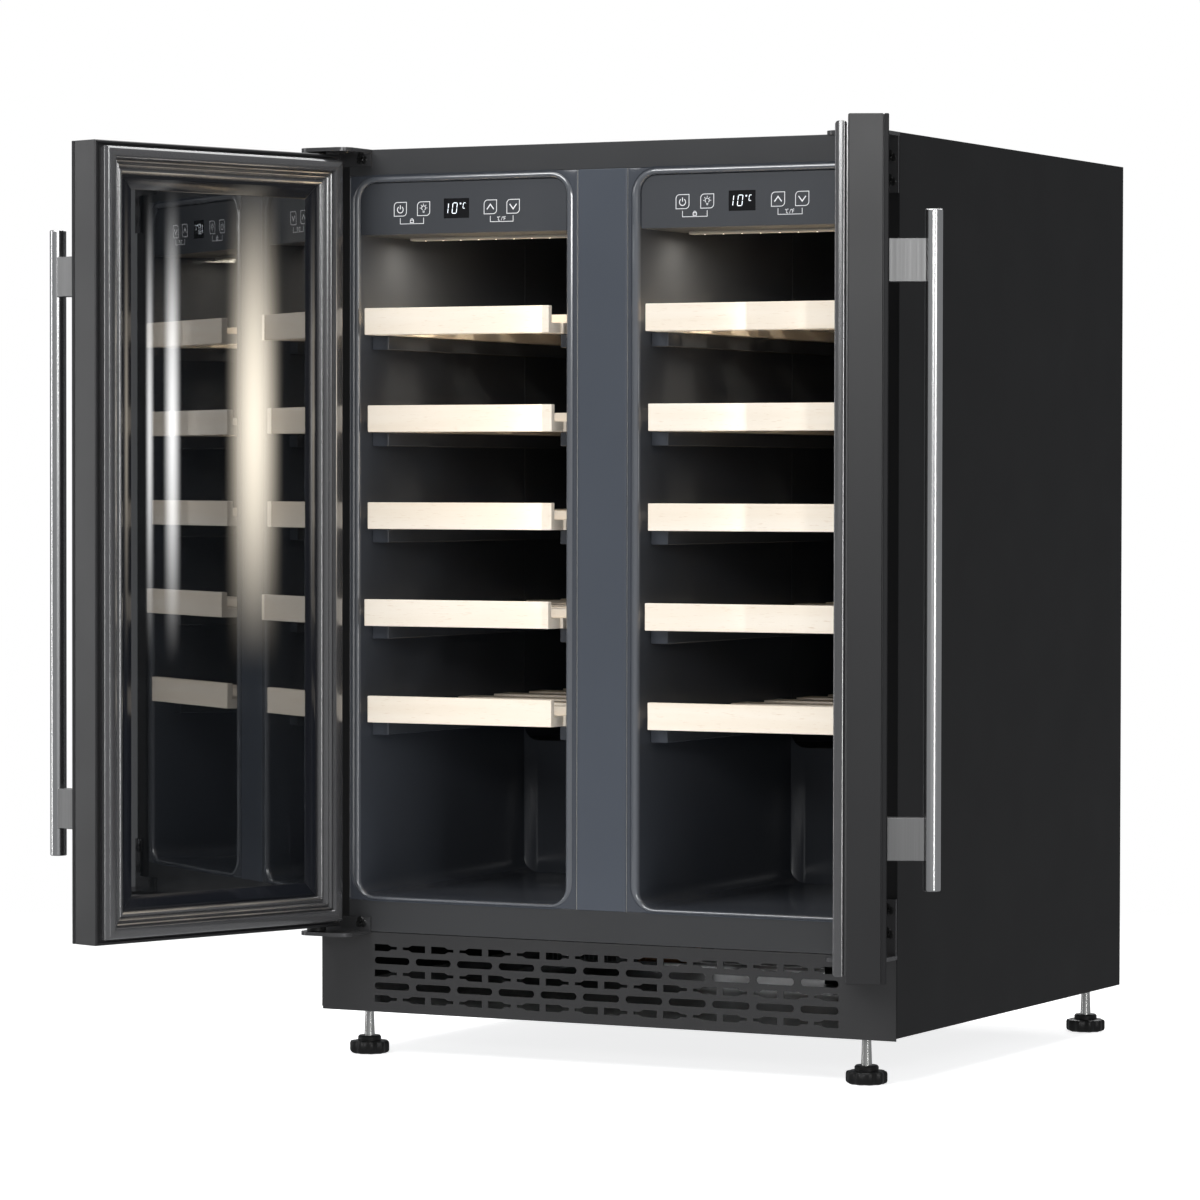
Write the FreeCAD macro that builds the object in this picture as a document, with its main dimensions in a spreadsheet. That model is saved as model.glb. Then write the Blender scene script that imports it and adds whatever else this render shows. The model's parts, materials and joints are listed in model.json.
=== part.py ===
import math
import os
import re

import FreeCAD
import Part
import Sketcher
from FreeCAD import Placement, Rotation, Vector

# Dual-zone under-counter wine cooler with two glass doors, shown with both doors open.
# Frame: millimetres, +Z up, the doors face -Y, and x = 0 is the cabinet's centre line.
# y = 0 is the plane of the cabinet's front flanges and z = 0 is the floor under the levelling feet.
# Everything on the doors is drawn with the doors closed, then turned about its hinge pins.

DIMENSIONS = {
    # cabinet shell
    "cab_width": 595, "cab_depth": 545, "cab_height": 811, "foot_height": 42, "gauge": 1,
    "side_flange": 29, "kick_height": 75, "rail_low_top": 147, "rail_high_low": 828.5,
    "back_inset": 4, "floor_clear": 2.5, "tray_gauge": 1.5, "tray_lip": 20,
    # the two compartments
    "half_gap": 38, "cell_width": 219, "cell_low": 151, "cell_high": 822, "cell_depth": 485,
    "cell_corner": 16, "liner_wall": 1.5, "flange_in": 12, "flange_out": 10.5,
    "step_depth": 330, "step_high": 283, "bay_high": 248, "bay_front": 357, "foam_low": 118,
    "mullion_half": 25.5, "mullion_bevel": 3,
    # grille in the kick plate
    "vent_span": 240, "vent_first": 12.5, "vent_pitch": 12.05, "vent_half_tall": 3.3,
    "slot_half": 18.8, "bottle_half": 12,
    # shelves
    "shelf_count": 5, "shelf_top": 704, "shelf_pitch": 91, "bar_half": 97.75, "bar_tall": 25,
    "lip_thick": 6.5, "bar_deep": 24, "bar_front": 5, "rail_half": 100.5, "rail_wide": 16, "rail_tall": 9.5,
    "shelf_back": 430, "slat_wide": 34, "slat_thick": 8, "slat_start": 10, "slat_count": 6,
    "runner_wide": 18, "runner_tall": 13, "runner_front": 24, "runner_gap": 0.3, "shelf_pull": 6,
    # doors, closed
    "door_low": 124, "door_high": 847, "door_free": 1.5, "door_side": 297, "door_gap": 12,
    "door_thick": 34, "stile": 43, "glass_thick": 4, "glass_inset": 4, "pane_inset": 2,
    "glass_grip": 8, "spacer_wide": 6,
    # magnetic seal: a flat base all round, and a thick part that clears the hinge brackets
    "seal_margin": 5.5, "seal_inner": 29.6, "seal_base": 2.5, "seal_clear": 0.9,
    "bulb_side": 281.5, "bulb_end": 10.5,
    # handles
    "handle_x": 16.5, "handle_r": 7.5, "handle_low": 201, "handle_high": 768.5,
    "post_long": 30, "post_tall": 36, "post_wide": 13, "post_low": 244.5, "post_high": 726,
    # hinges
    "pin_x": 284.7, "pin_y": 31.8, "pin_r": 4, "pin_clear": 0.05, "plate_thick": 3.5,
    "plate_low": 115.5, "plate_reach": 47, "bracket_in": 243.5, "leg_thick": 2.5,
    "leg_wide": 14, "leg_tall": 54, "foot_leg": 16, "bush_r": 7, "bush_flange_r": 9,
    "bush_deep": 15, "bush_gap": 0.3, "pin_long": 17, "plate_corner": 12,
    "screw_r": 3.6, "screw_head": 0.7, "screw_in": 9, "screw_in_up": 9.5,
    "screw_side": 7.5, "screw_mid_up": 22.5, "screw_far_up": 44,
    "left_open": 107.6, "right_open": 114.1,
    # control panels and lights
    "panel_low": 773, "panel_front": 3, "panel_thick": 3, "panel_deep": 92, "panel_skin": 2,
    "panel_gap": 0.6, "display_x": -7, "display_wide": 27, "display_tall": 18.5,
    "display_low": 787, "display_sunk": 0.4, "board_thick": 1.6, "board_left": 84,
    "board_right": 72, "board_low": 8, "board_high": 38,
    "lamp_y": 62, "lamp_wide": 12, "lamp_thick": 3, "lamp_long": 180,
    # air duct, evaporator and circulation fans
    "duct_y": 438, "duct_thick": 2, "duct_low": 300, "duct_high": 790, "fan_z": 640,
    "fan_size": 92, "fan_deep": 20, "fan_hub": 17, "fan_shaft": 2.5, "fan_rim": 6,
    "duct_slots": 9, "duct_slot_pitch": 14, "duct_slot_tall": 6, "duct_slot_half": 70,
    "evap_wide": 180, "evap_low": 310, "evap_high": 560, "evap_y": 474, "evap_thick": 3,
    "sensor_in": 24, "sensor_r": 3.5, "sensor_long": 26,
    # compressor bay
    "comp_x": 120, "comp_y": 450, "comp_r": 62, "comp_low": 66, "comp_tall": 136,
    "comp_foot": 3, "mount_r": 11, "mount_dx": 68, "mount_dy": 44, "tray_low": 202,
    "coil_x": -266, "coil_long": 90, "coil_y": 388, "coil_deep": 126, "coil_low": 58,
    "coil_tall": 132, "coil_tube": 4, "coil_rows": 6, "coil_bend": 10.5, "fin_count": 16,
    "fin_thick": 0.8, "fin_margin": 6, "bay_fan_x": -132, "bay_fan_size": 120,
    "bay_fan_deep": 25, "bay_fan_rim": 5,
    "drier_x": -40, "drier_y": 522, "drier_low": 90, "drier_tall": 90, "drier_r": 9,
    "drip_half_x": 70, "drip_half_y": 60, "drip_tall": 26, "drip_wall": 2,
    # rear cover and power inlet
    "cover_clear": 4, "louvre_half": 45, "louvre_tall": 7, "louvre_pitch": 17,
    "louvre_rows": 7, "louvre_low": 74, "louvre_columns": 4, "column_pitch": 110,
    "inlet_x": -235, "inlet_z": 208, "inlet_half": 15, "inlet_half_tall": 12,
    "inlet_deep": 26, "inlet_proud": 2, "inlet_wall": 3, "inlet_recess": 16,
    # levelling feet
    "foot_front_x": 258, "foot_front_y": 22, "foot_rear_x": 272, "foot_rear_y": 518,
    "stem_r": 4.75, "stem_high": 74, "stem_clear": 0.05, "knob_r": 19, "knob_tall": 12,
    "hub_r": 11, "hub_tall": 5, "boss_r": 10, "boss_tall": 18,
}

os.makedirs("parts", exist_ok=True)
doc = FreeCAD.newDocument("wine_cooler")
sheet = doc.addObject("Spreadsheet::Sheet", "Dims")
for row, (alias, number) in enumerate(DIMENSIONS.items(), start=1):
    sheet.set(f"A{row}", alias)
    sheet.set(f"B{row}", str(number))
    sheet.setAlias(f"B{row}", alias)
doc.recompute()

NODES = []
UP = Vector(0, 0, 1)
WORD = re.compile(r"[a-z][a-z_]*[a-z]")
TURN_TO = {"x": Rotation(Vector(0, 1, 0), 90), "y": Rotation(Vector(1, 0, 0), -90), "z": Rotation()}


# ---------------------------------------------------------------- helpers

def bound(text):
    """Point every dimension named in an expression at its cell in the sheet."""
    return WORD.sub(lambda word: "Dims." + word.group(), str(text))


def size(alias):
    return float(sheet.get(alias))


def place(piece, at):
    for axis, text in zip("xyz", at):
        piece.setExpression(f"Placement.Base.{axis}", bound(text))
    return piece


def slab(name, x, y, z):
    """A box between two expressions on each axis."""
    piece = doc.addObject("Part::Box", name)
    for side, (low, high) in zip(("Length", "Width", "Height"), (x, y, z)):
        piece.setExpression(side, bound(f"({high}) - ({low})"))
    return place(piece, (x[0], y[0], z[0]))


def rod(name, axis, at, radius, length):
    """A cylinder that starts at a point and runs along +X, +Y or +Z."""
    piece = doc.addObject("Part::Cylinder", name)
    piece.setExpression("Radius", bound(radius))
    piece.setExpression("Height", bound(length))
    piece.Placement = Placement(Vector(), TURN_TO[axis])
    return place(piece, at)


def cut(name, base, *tools):
    """The base with every tool taken away."""
    tool = tools[0] if len(tools) == 1 else fuse(name + "_tools", *tools)
    piece = doc.addObject("Part::Cut", name)
    piece.Base = base
    piece.Tool = tool
    return piece


def fuse(name, *pieces):
    piece = doc.addObject("Part::MultiFuse", name)
    piece.Shapes = list(pieces)
    piece.Refine = True
    return piece


def group(name, *pieces):
    """Separate solids that belong to one named piece, or one solid that gets a place of its own."""
    piece = doc.addObject("Part::Compound", name)
    piece.Links = list(pieces)
    return piece


def rounded(name, base, radius, chosen):
    """Fillet the edges for which chosen(edge) is true."""
    doc.recompute()
    piece = doc.addObject("Part::Fillet", name)
    piece.Base = base
    picked = [i for i, edge in enumerate(base.Shape.Edges, start=1) if chosen(edge)]
    piece.Edges = [(i, radius, radius) for i in picked]
    return piece


def along(edge, axis):
    """True for a straight edge parallel to axis."""
    if not isinstance(edge.Curve, Part.Line):
        return False
    return abs(edge.Curve.Direction.dot(axis)) > 0.999


def node(piece, label):
    """Register a finished sub-part under the name that its file gets."""
    piece.Label = label
    NODES.append(piece)
    return piece


def across(side, near, far):
    """An x range given outwards from the centre line, on the right (+1) or the left (-1)."""
    return (near, far) if side > 0 else (f"-({far})", f"-({near})")


def outward(side, distance):
    return distance if side > 0 else f"-({distance})"


def side_name(side):
    return "right" if side > 0 else "left"


def body(name):
    return doc.addObject("PartDesign::Body", name)


def sketch_on(owner, name, plane, offset):
    """A sketch on one of its body's origin planes, moved along the plane's normal."""
    sketch = owner.newObject("Sketcher::SketchObject", name)
    support = next(f for f in owner.Origin.OriginFeatures if f.Role == plane)
    sketch.AttachmentSupport = (support, [""])
    sketch.MapMode = "FlatFace"
    sketch.setExpression("AttachmentOffset.Base.z", bound(offset))
    return sketch


def fix(sketch, kind, geometry, point, text):
    """Tie a point's distance from the sketch's origin to an expression."""
    distance = float(sketch.evalExpression(bound(text)))
    number = sketch.addConstraint(Sketcher.Constraint(kind, -1, 1, geometry, point, distance))
    sketch.setExpression(f"Constraints[{number}]", bound(text))


def outline(sketch, corners):
    """A closed polygon whose corners are pairs of expressions."""
    points = [Vector(*(float(sketch.evalExpression(bound(t))) for t in pair), 0) for pair in corners]
    first = sketch.GeometryCount
    count = len(points)
    for i, point in enumerate(points):
        sketch.addGeometry(Part.LineSegment(point, points[(i + 1) % count]), False)
    for i in range(count):
        last = first + (i + 1) % count
        sketch.addConstraint(Sketcher.Constraint("Coincident", first + i, 2, last, 1))
    for i, (x, y) in enumerate(corners):
        fix(sketch, "DistanceX", first + i, 1, x)
        fix(sketch, "DistanceY", first + i, 1, y)


def pad(owner, sketch, length):
    """Raise a sketch along its normal."""
    feature = owner.newObject("PartDesign::Pad", sketch.Name + "_pad")
    feature.Profile = sketch
    feature.setExpression("Length", bound(length))


def pocket(owner, sketch):
    """Cut a sketch right through its body, against its normal."""
    feature = owner.newObject("PartDesign::Pocket", sketch.Name + "_pocket")
    feature.Profile = sketch
    feature.Type = "ThroughAll"


def turned_about_z(owner, sketch):
    """Revolve a sketch drawn on the XZ plane about the body's Z axis."""
    feature = owner.newObject("PartDesign::Revolution", sketch.Name + "_turned")
    feature.Profile = sketch
    feature.ReferenceAxis = (sketch, ["V_Axis"])
    feature.Angle = 360


# ---------------------------------------------------------------- cabinet shell

BACK_Y = "cab_depth - back_inset - gauge"
TOP_Z = "foot_height + cab_height"
INNER_X = "cab_width / 2 - gauge"
FLOOR_LOW = "foot_height + floor_clear"
FLOOR_TOP = FLOOR_LOW + " + tray_gauge"


def side_panel(side):
    """Folded steel side with its front return beside the doorway."""
    name = f"side_panel_{side_name(side)}"
    sheet_x = across(side, INNER_X, "cab_width / 2")
    sheet_face = slab(name + "_sheet", sheet_x, (0, "cab_depth"), (FLOOR_LOW, TOP_Z))
    flange_x = across(side, f"{INNER_X} - side_flange", INNER_X)
    flange = slab(name + "_flange", flange_x, (0, "gauge"), ("foot_height + kick_height + 0.5", TOP_Z))
    node(fuse(name, sheet_face, flange), name)


def top_panel():
    x = (f"-({INNER_X})", INNER_X)
    node(slab("top_panel", x, ("gauge", "cab_depth"), (f"{TOP_Z} - gauge", TOP_Z)), "top_panel")


def back_panel():
    x = (f"-({INNER_X})", INNER_X)
    y = (BACK_Y, BACK_Y + " + gauge")
    node(slab("back_panel", x, y, ("bay_high", f"{TOP_Z} - gauge")), "back_panel")


def front_rails():
    """Steel cross rails above and below the two doorways."""
    half = f"{INNER_X} - side_flange"
    x = (f"-({half})", half)
    node(slab("front_rail_top", x, (0, "gauge"), ("rail_high_low", TOP_Z)), "front_rail_top")
    low = ("foot_height + kick_height + 0.5", "rail_low_top")
    node(slab("front_rail_bottom", x, (0, "gauge"), low), "front_rail_bottom")


def mullion_cover():
    """Pressed cover on the post between the compartments, bevelled along both sides."""
    cover = body("mullion_cover")
    profile = sketch_on(cover, "mullion_profile", "XY_Plane", "rail_low_top")
    outline(profile, [
        ("-mullion_half", 1), ("-mullion_half", 0.4), ("mullion_bevel - mullion_half", -0.6),
        ("mullion_half - mullion_bevel", -0.6), ("mullion_half", 0.4), ("mullion_half", 1),
    ])
    pad(cover, profile, "rail_high_low - rail_low_top")
    node(cover, "mullion_cover")


def add_loop(sketch, points):
    """A closed loop of straight lines through plain points."""
    for i, point in enumerate(points):
        nearby = points[(i + 1) % len(points)]
        sketch.addGeometry(Part.LineSegment(Vector(*point, 0), Vector(*nearby, 0)), False)


def bottle_vent(x, z, facing, half_long, half_tall):
    """The outline of a small lying bottle, its neck towards facing."""
    shoulder, neck_start = half_long * 0.21, half_long * 0.5
    neck_half = half_tall * 0.42
    stations = [(-half_long, half_tall), (shoulder, half_tall),
                (neck_start, neck_half), (half_long, neck_half)]
    upper = [(x + facing * reach, z + half) for reach, half in stations]
    lower = [(x + facing * reach, z - half) for reach, half in reversed(stations)]
    return upper + lower


def add_slot(sketch, x, z, half_long, half_tall):
    """A slot with round ends."""
    straight = half_long - half_tall
    for sign in (1, -1):
        start = Vector(x - sign * straight, z + sign * half_tall, 0)
        end = Vector(x + sign * straight, z + sign * half_tall, 0)
        tip = Vector(x + sign * half_long, z, 0)
        below = Vector(x + sign * straight, z - sign * half_tall, 0)
        sketch.addGeometry(Part.LineSegment(start, end), False)
        sketch.addGeometry(Part.Arc(end, tip, below), False)


def kick_plate():
    """Plinth grille: rows of bottle-shaped holes with rows of plain slots between them."""
    plate = body("kick_plate")
    half = f"({INNER_X})"
    face = sketch_on(plate, "kick_face", "XZ_Plane", "-gauge")
    top = "foot_height + kick_height"
    outline(face, [(f"-{half}", "foot_height"), (half, "foot_height"), (half, top), (f"-{half}", top)])
    pad(plate, face, "gauge")
    vents = sketch_on(plate, "kick_vents", "XZ_Plane", 0)
    rows, bottles, slots = 5, 16, 11
    half_tall = size("vent_half_tall")
    for row in range(rows):
        z = size("foot_height") + size("vent_first") + row * size("vent_pitch")
        count, half_long = (slots, size("slot_half")) if row % 2 else (bottles, size("bottle_half"))
        first = half_long - size("vent_span")
        pitch = -2 * first / (count - 1)
        for i in range(count):
            if row % 2:
                add_slot(vents, first + i * pitch, z, half_long, half_tall)
            else:
                facing = -1 if i % 2 else 1
                add_loop(vents, bottle_vent(first + i * pitch, z, facing, half_long, half_tall))
    pocket(plate, vents)
    node(plate, "kick_plate")


FOOT_PLACES = {
    "foot_front_left": ("-foot_front_x", "foot_front_y"),
    "foot_front_right": ("foot_front_x", "foot_front_y"),
    "foot_rear_left": ("-foot_rear_x", "foot_rear_y"),
    "foot_rear_right": ("foot_rear_x", "foot_rear_y"),
}


def base_tray():
    """Floor of the cabinet with turned-up sides and a threaded boss over each foot."""
    y_range = ("gauge", BACK_Y)
    pieces = [slab("tray_floor", (f"-({INNER_X})", INNER_X), y_range, (FLOOR_LOW, FLOOR_TOP))]
    for side in (1, -1):
        x = across(side, f"{INNER_X} - tray_gauge", INNER_X)
        lip_z = (FLOOR_TOP, f"{FLOOR_LOW} + tray_lip")
        pieces.append(slab(f"tray_lip_{side_name(side)}", x, y_range, lip_z))
    holes = []
    for name, (x, y) in FOOT_PLACES.items():
        pieces.append(rod(name + "_boss", "z", (x, y, FLOOR_LOW), "boss_r", "boss_tall"))
        hole_at = (x, y, FLOOR_LOW + " - 1")
        holes.append(rod(name + "_hole", "z", hole_at, "stem_r + stem_clear", "boss_tall + 2"))
    node(cut("base_tray", fuse("tray_blank", *pieces), *holes), "base_tray")


# ---------------------------------------------------------------- compartments

def chamber(name, side, grow, front):
    """The space of one compartment, grown by a wall: deep above, shallow below the compressor step."""
    x = across(side, f"half_gap - {grow}", f"half_gap + cell_width + {grow}")
    deep_z = (f"step_high - {grow}", f"cell_high + {grow}")
    deep = slab(name + "_deep", x, (front, f"cell_depth + {grow}"), deep_z)
    shallow_z = (f"cell_low - {grow}", f"step_high + {grow}")
    shallow = slab(name + "_shallow", x, (front, f"step_depth + {grow}"), shallow_z)
    radius = size("cell_corner") + (size("liner_wall") if grow else 0)
    corners = []
    for blank, top in ((deep, True), (shallow, False)):
        doc.recompute()
        box = blank.Shape.BoundBox
        height = box.ZMax if top else box.ZMin
        corners.append(rounded(
            blank.Name + "_round", blank, radius,
            lambda edge: along(edge, Vector(0, 1, 0)) and abs(edge.CenterOfMass.z - height) < 0.01))
    return fuse(name, *corners)


def liner(side):
    """Vacuum-formed plastic liner with a flat flange round its mouth."""
    name = f"liner_{side_name(side)}"
    outer = chamber(name + "_outer", side, "liner_wall", 0)
    inner = chamber(name + "_inner", side, 0, -5)
    flange_x = across(side, "half_gap - flange_in", "half_gap + cell_width + flange_out")
    flange = slab(name + "_flange", flange_x, (0, "gauge"), ("rail_low_top", "rail_high_low"))
    node(cut(name, fuse(name + "_blank", outer, flange), inner), name)
    return outer


def insulation_foam(left_outer, right_outer):
    """Foamed-in-place insulation between the liners and the steel shell."""
    x = (f"-({INNER_X})", INNER_X)
    block = slab("foam_block", x, ("gauge", BACK_Y), ("foam_low", f"{TOP_Z} - gauge"))
    wide = (f"-({INNER_X} + 1)", f"{INNER_X} + 1")
    bay = slab("foam_bay", wide, ("bay_front", "cab_depth"), ("foot_height", "bay_high"))
    node(cut("insulation_foam", block, left_outer, right_outer, bay), "insulation_foam")


def shelf_low(level):
    """Underside of a shelf's front bar; level 0 is the top shelf."""
    return f"shelf_top - {level} * shelf_pitch - bar_tall"


def shelf_runners():
    """Moulded ledges on the compartment walls that carry the shelves."""
    ledges = []
    for side in (-1, 1):
        for level in range(int(size("shelf_count"))):
            top = f"{shelf_low(level)} - runner_gap"
            for wall, near, far in (
                ("in", "half_gap", "half_gap + runner_wide"),
                ("out", "half_gap + cell_width - runner_wide", "half_gap + cell_width"),
            ):
                name = f"runner_{side_name(side)}_{level}_{wall}"
                y = ("runner_front", "shelf_back")
                ledges.append(slab(name, across(side, near, far), y, (f"{top} - runner_tall", top)))
    node(group("shelf_runners", *ledges), "shelf_runners")


def shelf(side, level):
    """Wooden shelf: a front bar made of a lip and a ledge, two side rails and cross slats, separate pieces."""
    name = f"shelf_{side_name(side)}_{level + 1}"
    middle = outward(side, "half_gap + cell_width / 2")
    low = shelf_low(level)
    pulled = "shelf_pull" if level in (0, 3) else "0"
    front = f"-bar_front - {pulled}"
    lip_back = f"{front} + lip_thick"
    bar_back = f"{front} + bar_deep"
    back = f"shelf_back - {pulled}"
    slats = int(size("slat_count"))

    def span(half):
        return (f"{middle} - {half}", f"{middle} + {half}")

    rail_top = f"{low} + rail_tall"
    pieces = [
        slab(name + "_lip", span("bar_half"), (front, lip_back), (low, f"{low} + bar_tall")),
        slab(name + "_ledge", span("bar_half"), (lip_back, bar_back), (low, rail_top)),
    ]
    for hand, edge in (("a", f"{middle} - rail_half"), ("b", f"{middle} + rail_half - rail_wide")):
        rail_x = (edge, f"{edge} + rail_wide")
        pieces.append(slab(f"{name}_rail_{hand}", rail_x, (bar_back, back), (low, rail_top)))
    slat_travel = "(shelf_back + bar_front - bar_deep - slat_wide - slat_start)"
    for i in range(slats):
        start = f"{bar_back} + slat_start + {i} * {slat_travel} / {slats - 1}"
        pieces.append(slab(f"{name}_slat_{i}", span("rail_half"), (start, f"{start} + slat_wide"),
                           (rail_top, f"{rail_top} + slat_thick")))
    node(group(name, *pieces), name)


# ---------------------------------------------------------------- doors

def on_door(side, piece, label):
    """Turn a finished piece, drawn with its door closed, about the hinge pins to the open angle."""
    pivot = Vector(side * size("pin_x"), -size("pin_y"), 0)
    angle = size("right_open") if side > 0 else -size("left_open")
    piece.Placement = Placement(Vector(), Rotation(UP, angle), pivot)
    return node(piece, label)


def ring(name, side, outer, inner, y):
    """A frame: outer and inner give (near x, far x, low z, high z)."""
    block = slab(name + "_outer", across(side, outer[0], outer[1]), y, outer[2:])
    hole_y = (f"{y[0]} - 5", f"{y[1]} + 5")
    hole = slab(name + "_inner", across(side, inner[0], inner[1]), hole_y, inner[2:])
    return cut(name, block, hole)


def inset(box, amount):
    """A (near x, far x, low z, high z) box drawn in by an amount on each side."""
    near, far, low, high = box
    return (f"{near} + {amount}", f"{far} - {amount}", f"{low} + {amount}", f"{high} - {amount}")


DOOR = ("door_free", "door_side", "door_low", "door_high")
WINDOW = inset(DOOR, "stile")
GLASS = inset(WINDOW, "(-glass_grip + 0.5)")
DOOR_BACK = "-door_gap"
DOOR_FRONT = "-door_gap - door_thick"
OUTER_PANE = (f"{DOOR_FRONT} + glass_inset", f"{DOOR_FRONT} + glass_inset + glass_thick")
INNER_PANE = (f"{DOOR_BACK} - pane_inset - glass_thick", f"{DOOR_BACK} - pane_inset")


def door(side):
    """Frame with its double glazing, spacer, magnetic seal, bar handle and hinge bushes."""
    name = f"door_{side_name(side)}"
    pin = (outward(side, "pin_x"), "-pin_y")
    frame = ring(name + "_ring", side, DOOR, WINDOW, (DOOR_FRONT, DOOR_BACK))
    groove_box = inset(WINDOW, "(-glass_grip)")
    groove = slab(name + "_groove", across(side, groove_box[0], groove_box[1]),
                  (OUTER_PANE[0], INNER_PANE[1]), groove_box[2:])
    sockets = [
        rod(name + "_socket_low", "z", (*pin, "door_low - 1"), "bush_r", "bush_deep + 1"),
        rod(name + "_socket_high", "z", (*pin, "door_high - bush_deep"), "bush_r", "bush_deep + 1"),
    ]
    on_door(side, cut(name + "_frame", frame, groove, *sockets), name + "_frame")

    panes = [slab(f"{name}_pane_{label}", across(side, GLASS[0], GLASS[1]), y, GLASS[2:])
             for label, y in (("outer", OUTER_PANE), ("inner", INNER_PANE))]
    on_door(side, group(name + "_glass", *panes), name + "_glass")

    spacer_y = (OUTER_PANE[1], INNER_PANE[0])
    spacer_box = inset(WINDOW, "(-spacer_wide - 0.5)")
    spacer = ring(name + "_spacer_ring", side, spacer_box, inset(WINDOW, "(-0.5)"), spacer_y)
    on_door(side, group(name + "_spacer", spacer), name + "_spacer")

    base = inset(DOOR, "seal_margin")
    bulb = (base[0], "bulb_side", "door_low + bulb_end", "door_high - bulb_end")
    hole = inset(DOOR, "seal_inner")
    base_top = f"{DOOR_BACK} + seal_base"
    base_ring = ring(name + "_seal_base", side, base, hole, (DOOR_BACK, base_top))
    bulb_ring = ring(name + "_seal_bulb", side, bulb, hole, (base_top, "-seal_clear"))
    on_door(side, fuse(name + "_seal", base_ring, bulb_ring), name + "_seal")

    bar_y = f"{DOOR_FRONT} - post_long - handle_r"
    bar_at = (outward(side, "handle_x"), bar_y)
    bar_start = (*bar_at, "handle_low")
    bar_long = "handle_high - handle_low"
    bar = rod(name + "_bar", "z", bar_start, "handle_r", bar_long)
    posts = []
    for label in ("low", "high"):
        middle = f"post_{label}"
        post_x = across(side, "handle_x - post_wide / 2", "handle_x + post_wide / 2")
        block = slab(f"{name}_post_{label}_block", post_x, (bar_y, DOOR_FRONT),
                     (f"{middle} - post_tall / 2", f"{middle} + post_tall / 2"))
        saddle = rod(f"{name}_saddle_{label}", "z", bar_start, "handle_r", bar_long)
        posts.append(cut(f"{name}_post_{label}", block, saddle))
    on_door(side, group(name + "_handle", bar, *posts), name + "_handle")

    low_start = "plate_low + plate_thick + bush_gap"
    high_end = f"{TOP_Z} - plate_thick - bush_gap"
    bushes = []
    for label, start, end, flange in (
        ("low", low_start, "door_low + bush_deep", (low_start, "door_low")),
        ("high", "door_high - bush_deep", high_end, ("door_high", high_end)),
    ):
        barrel = rod(f"{name}_barrel_{label}", "z", (*pin, start), "bush_r", f"({end}) - ({start})")
        collar = rod(f"{name}_collar_{label}", "z", (*pin, flange[0]), "bush_flange_r",
                     f"({flange[1]}) - ({flange[0]})")
        bore = rod(f"{name}_bore_{label}", "z", (*pin, f"{start} - 1"), "pin_r + pin_clear",
                   f"({end}) - ({start}) + 2")
        bushes.append(cut(f"{name}_bush_{label}", fuse(f"{name}_bush_{label}_blank", barrel, collar), bore))
    on_door(side, group(name + "_bushes", *bushes), name + "_bushes")


def hinges():
    """Four pressed brackets, each with a pin on its forward plate, and three screws to each bracket."""
    brackets = []
    screws = []
    outer = "cab_width / 2 - 0.5"
    screw_places = (
        ("bracket_in + screw_in", "screw_in_up"),
        ("cab_width / 2 - screw_side", "screw_mid_up"),
        ("cab_width / 2 - screw_side", "screw_far_up"),
    )
    for side in (-1, 1):
        for top in (False, True):
            name = f"bracket_{side_name(side)}_{'top' if top else 'bottom'}"

            def up(low, high):
                """A z range measured from the plate's outer face, turned over for the top bracket."""
                base, sign = (TOP_Z, "-") if top else ("plate_low", "+")
                ends = (f"{base} {sign} ({low})", f"{base} {sign} ({high})")
                return ends[::-1] if top else ends

            plate_x = across(side, "bracket_in", "cab_width / 2")
            plate = slab(name + "_plate", plate_x, ("-plate_reach", 0), up(0, "plate_thick"))
            free_corners = rounded(name + "_plate_round", plate, size("plate_corner"),
                                   lambda edge: along(edge, UP) and edge.CenterOfMass.y < -10)
            face_y = ("-leg_thick", 0)
            wing = slab(name + "_wing", across(side, "bracket_in", outer), face_y, up(0, "foot_leg"))
            leg_x = across(side, f"{outer} - leg_wide", outer)
            leg = slab(name + "_leg", leg_x, face_y, up(0, "leg_tall"))
            pin_z = up("plate_thick / 2", "plate_thick + pin_long")
            pin = rod(name + "_pin", "z", (outward(side, "pin_x"), "-pin_y", pin_z[0]),
                      "pin_r", f"({pin_z[1]}) - ({pin_z[0]})")
            brackets.append(fuse(name, free_corners, wing, leg, pin))
            for i, (x, height) in enumerate(screw_places):
                head_at = (outward(side, x), "-leg_thick - screw_head", up(height, height)[0])
                screws.append(rod(f"{name}_screw_{i}", "y", head_at, "screw_r", "screw_head"))
    node(group("hinge_brackets", *brackets), "hinge_brackets")
    node(group("hinge_screws", *screws), "hinge_screws")


# ---------------------------------------------------------------- controls and lights

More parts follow.
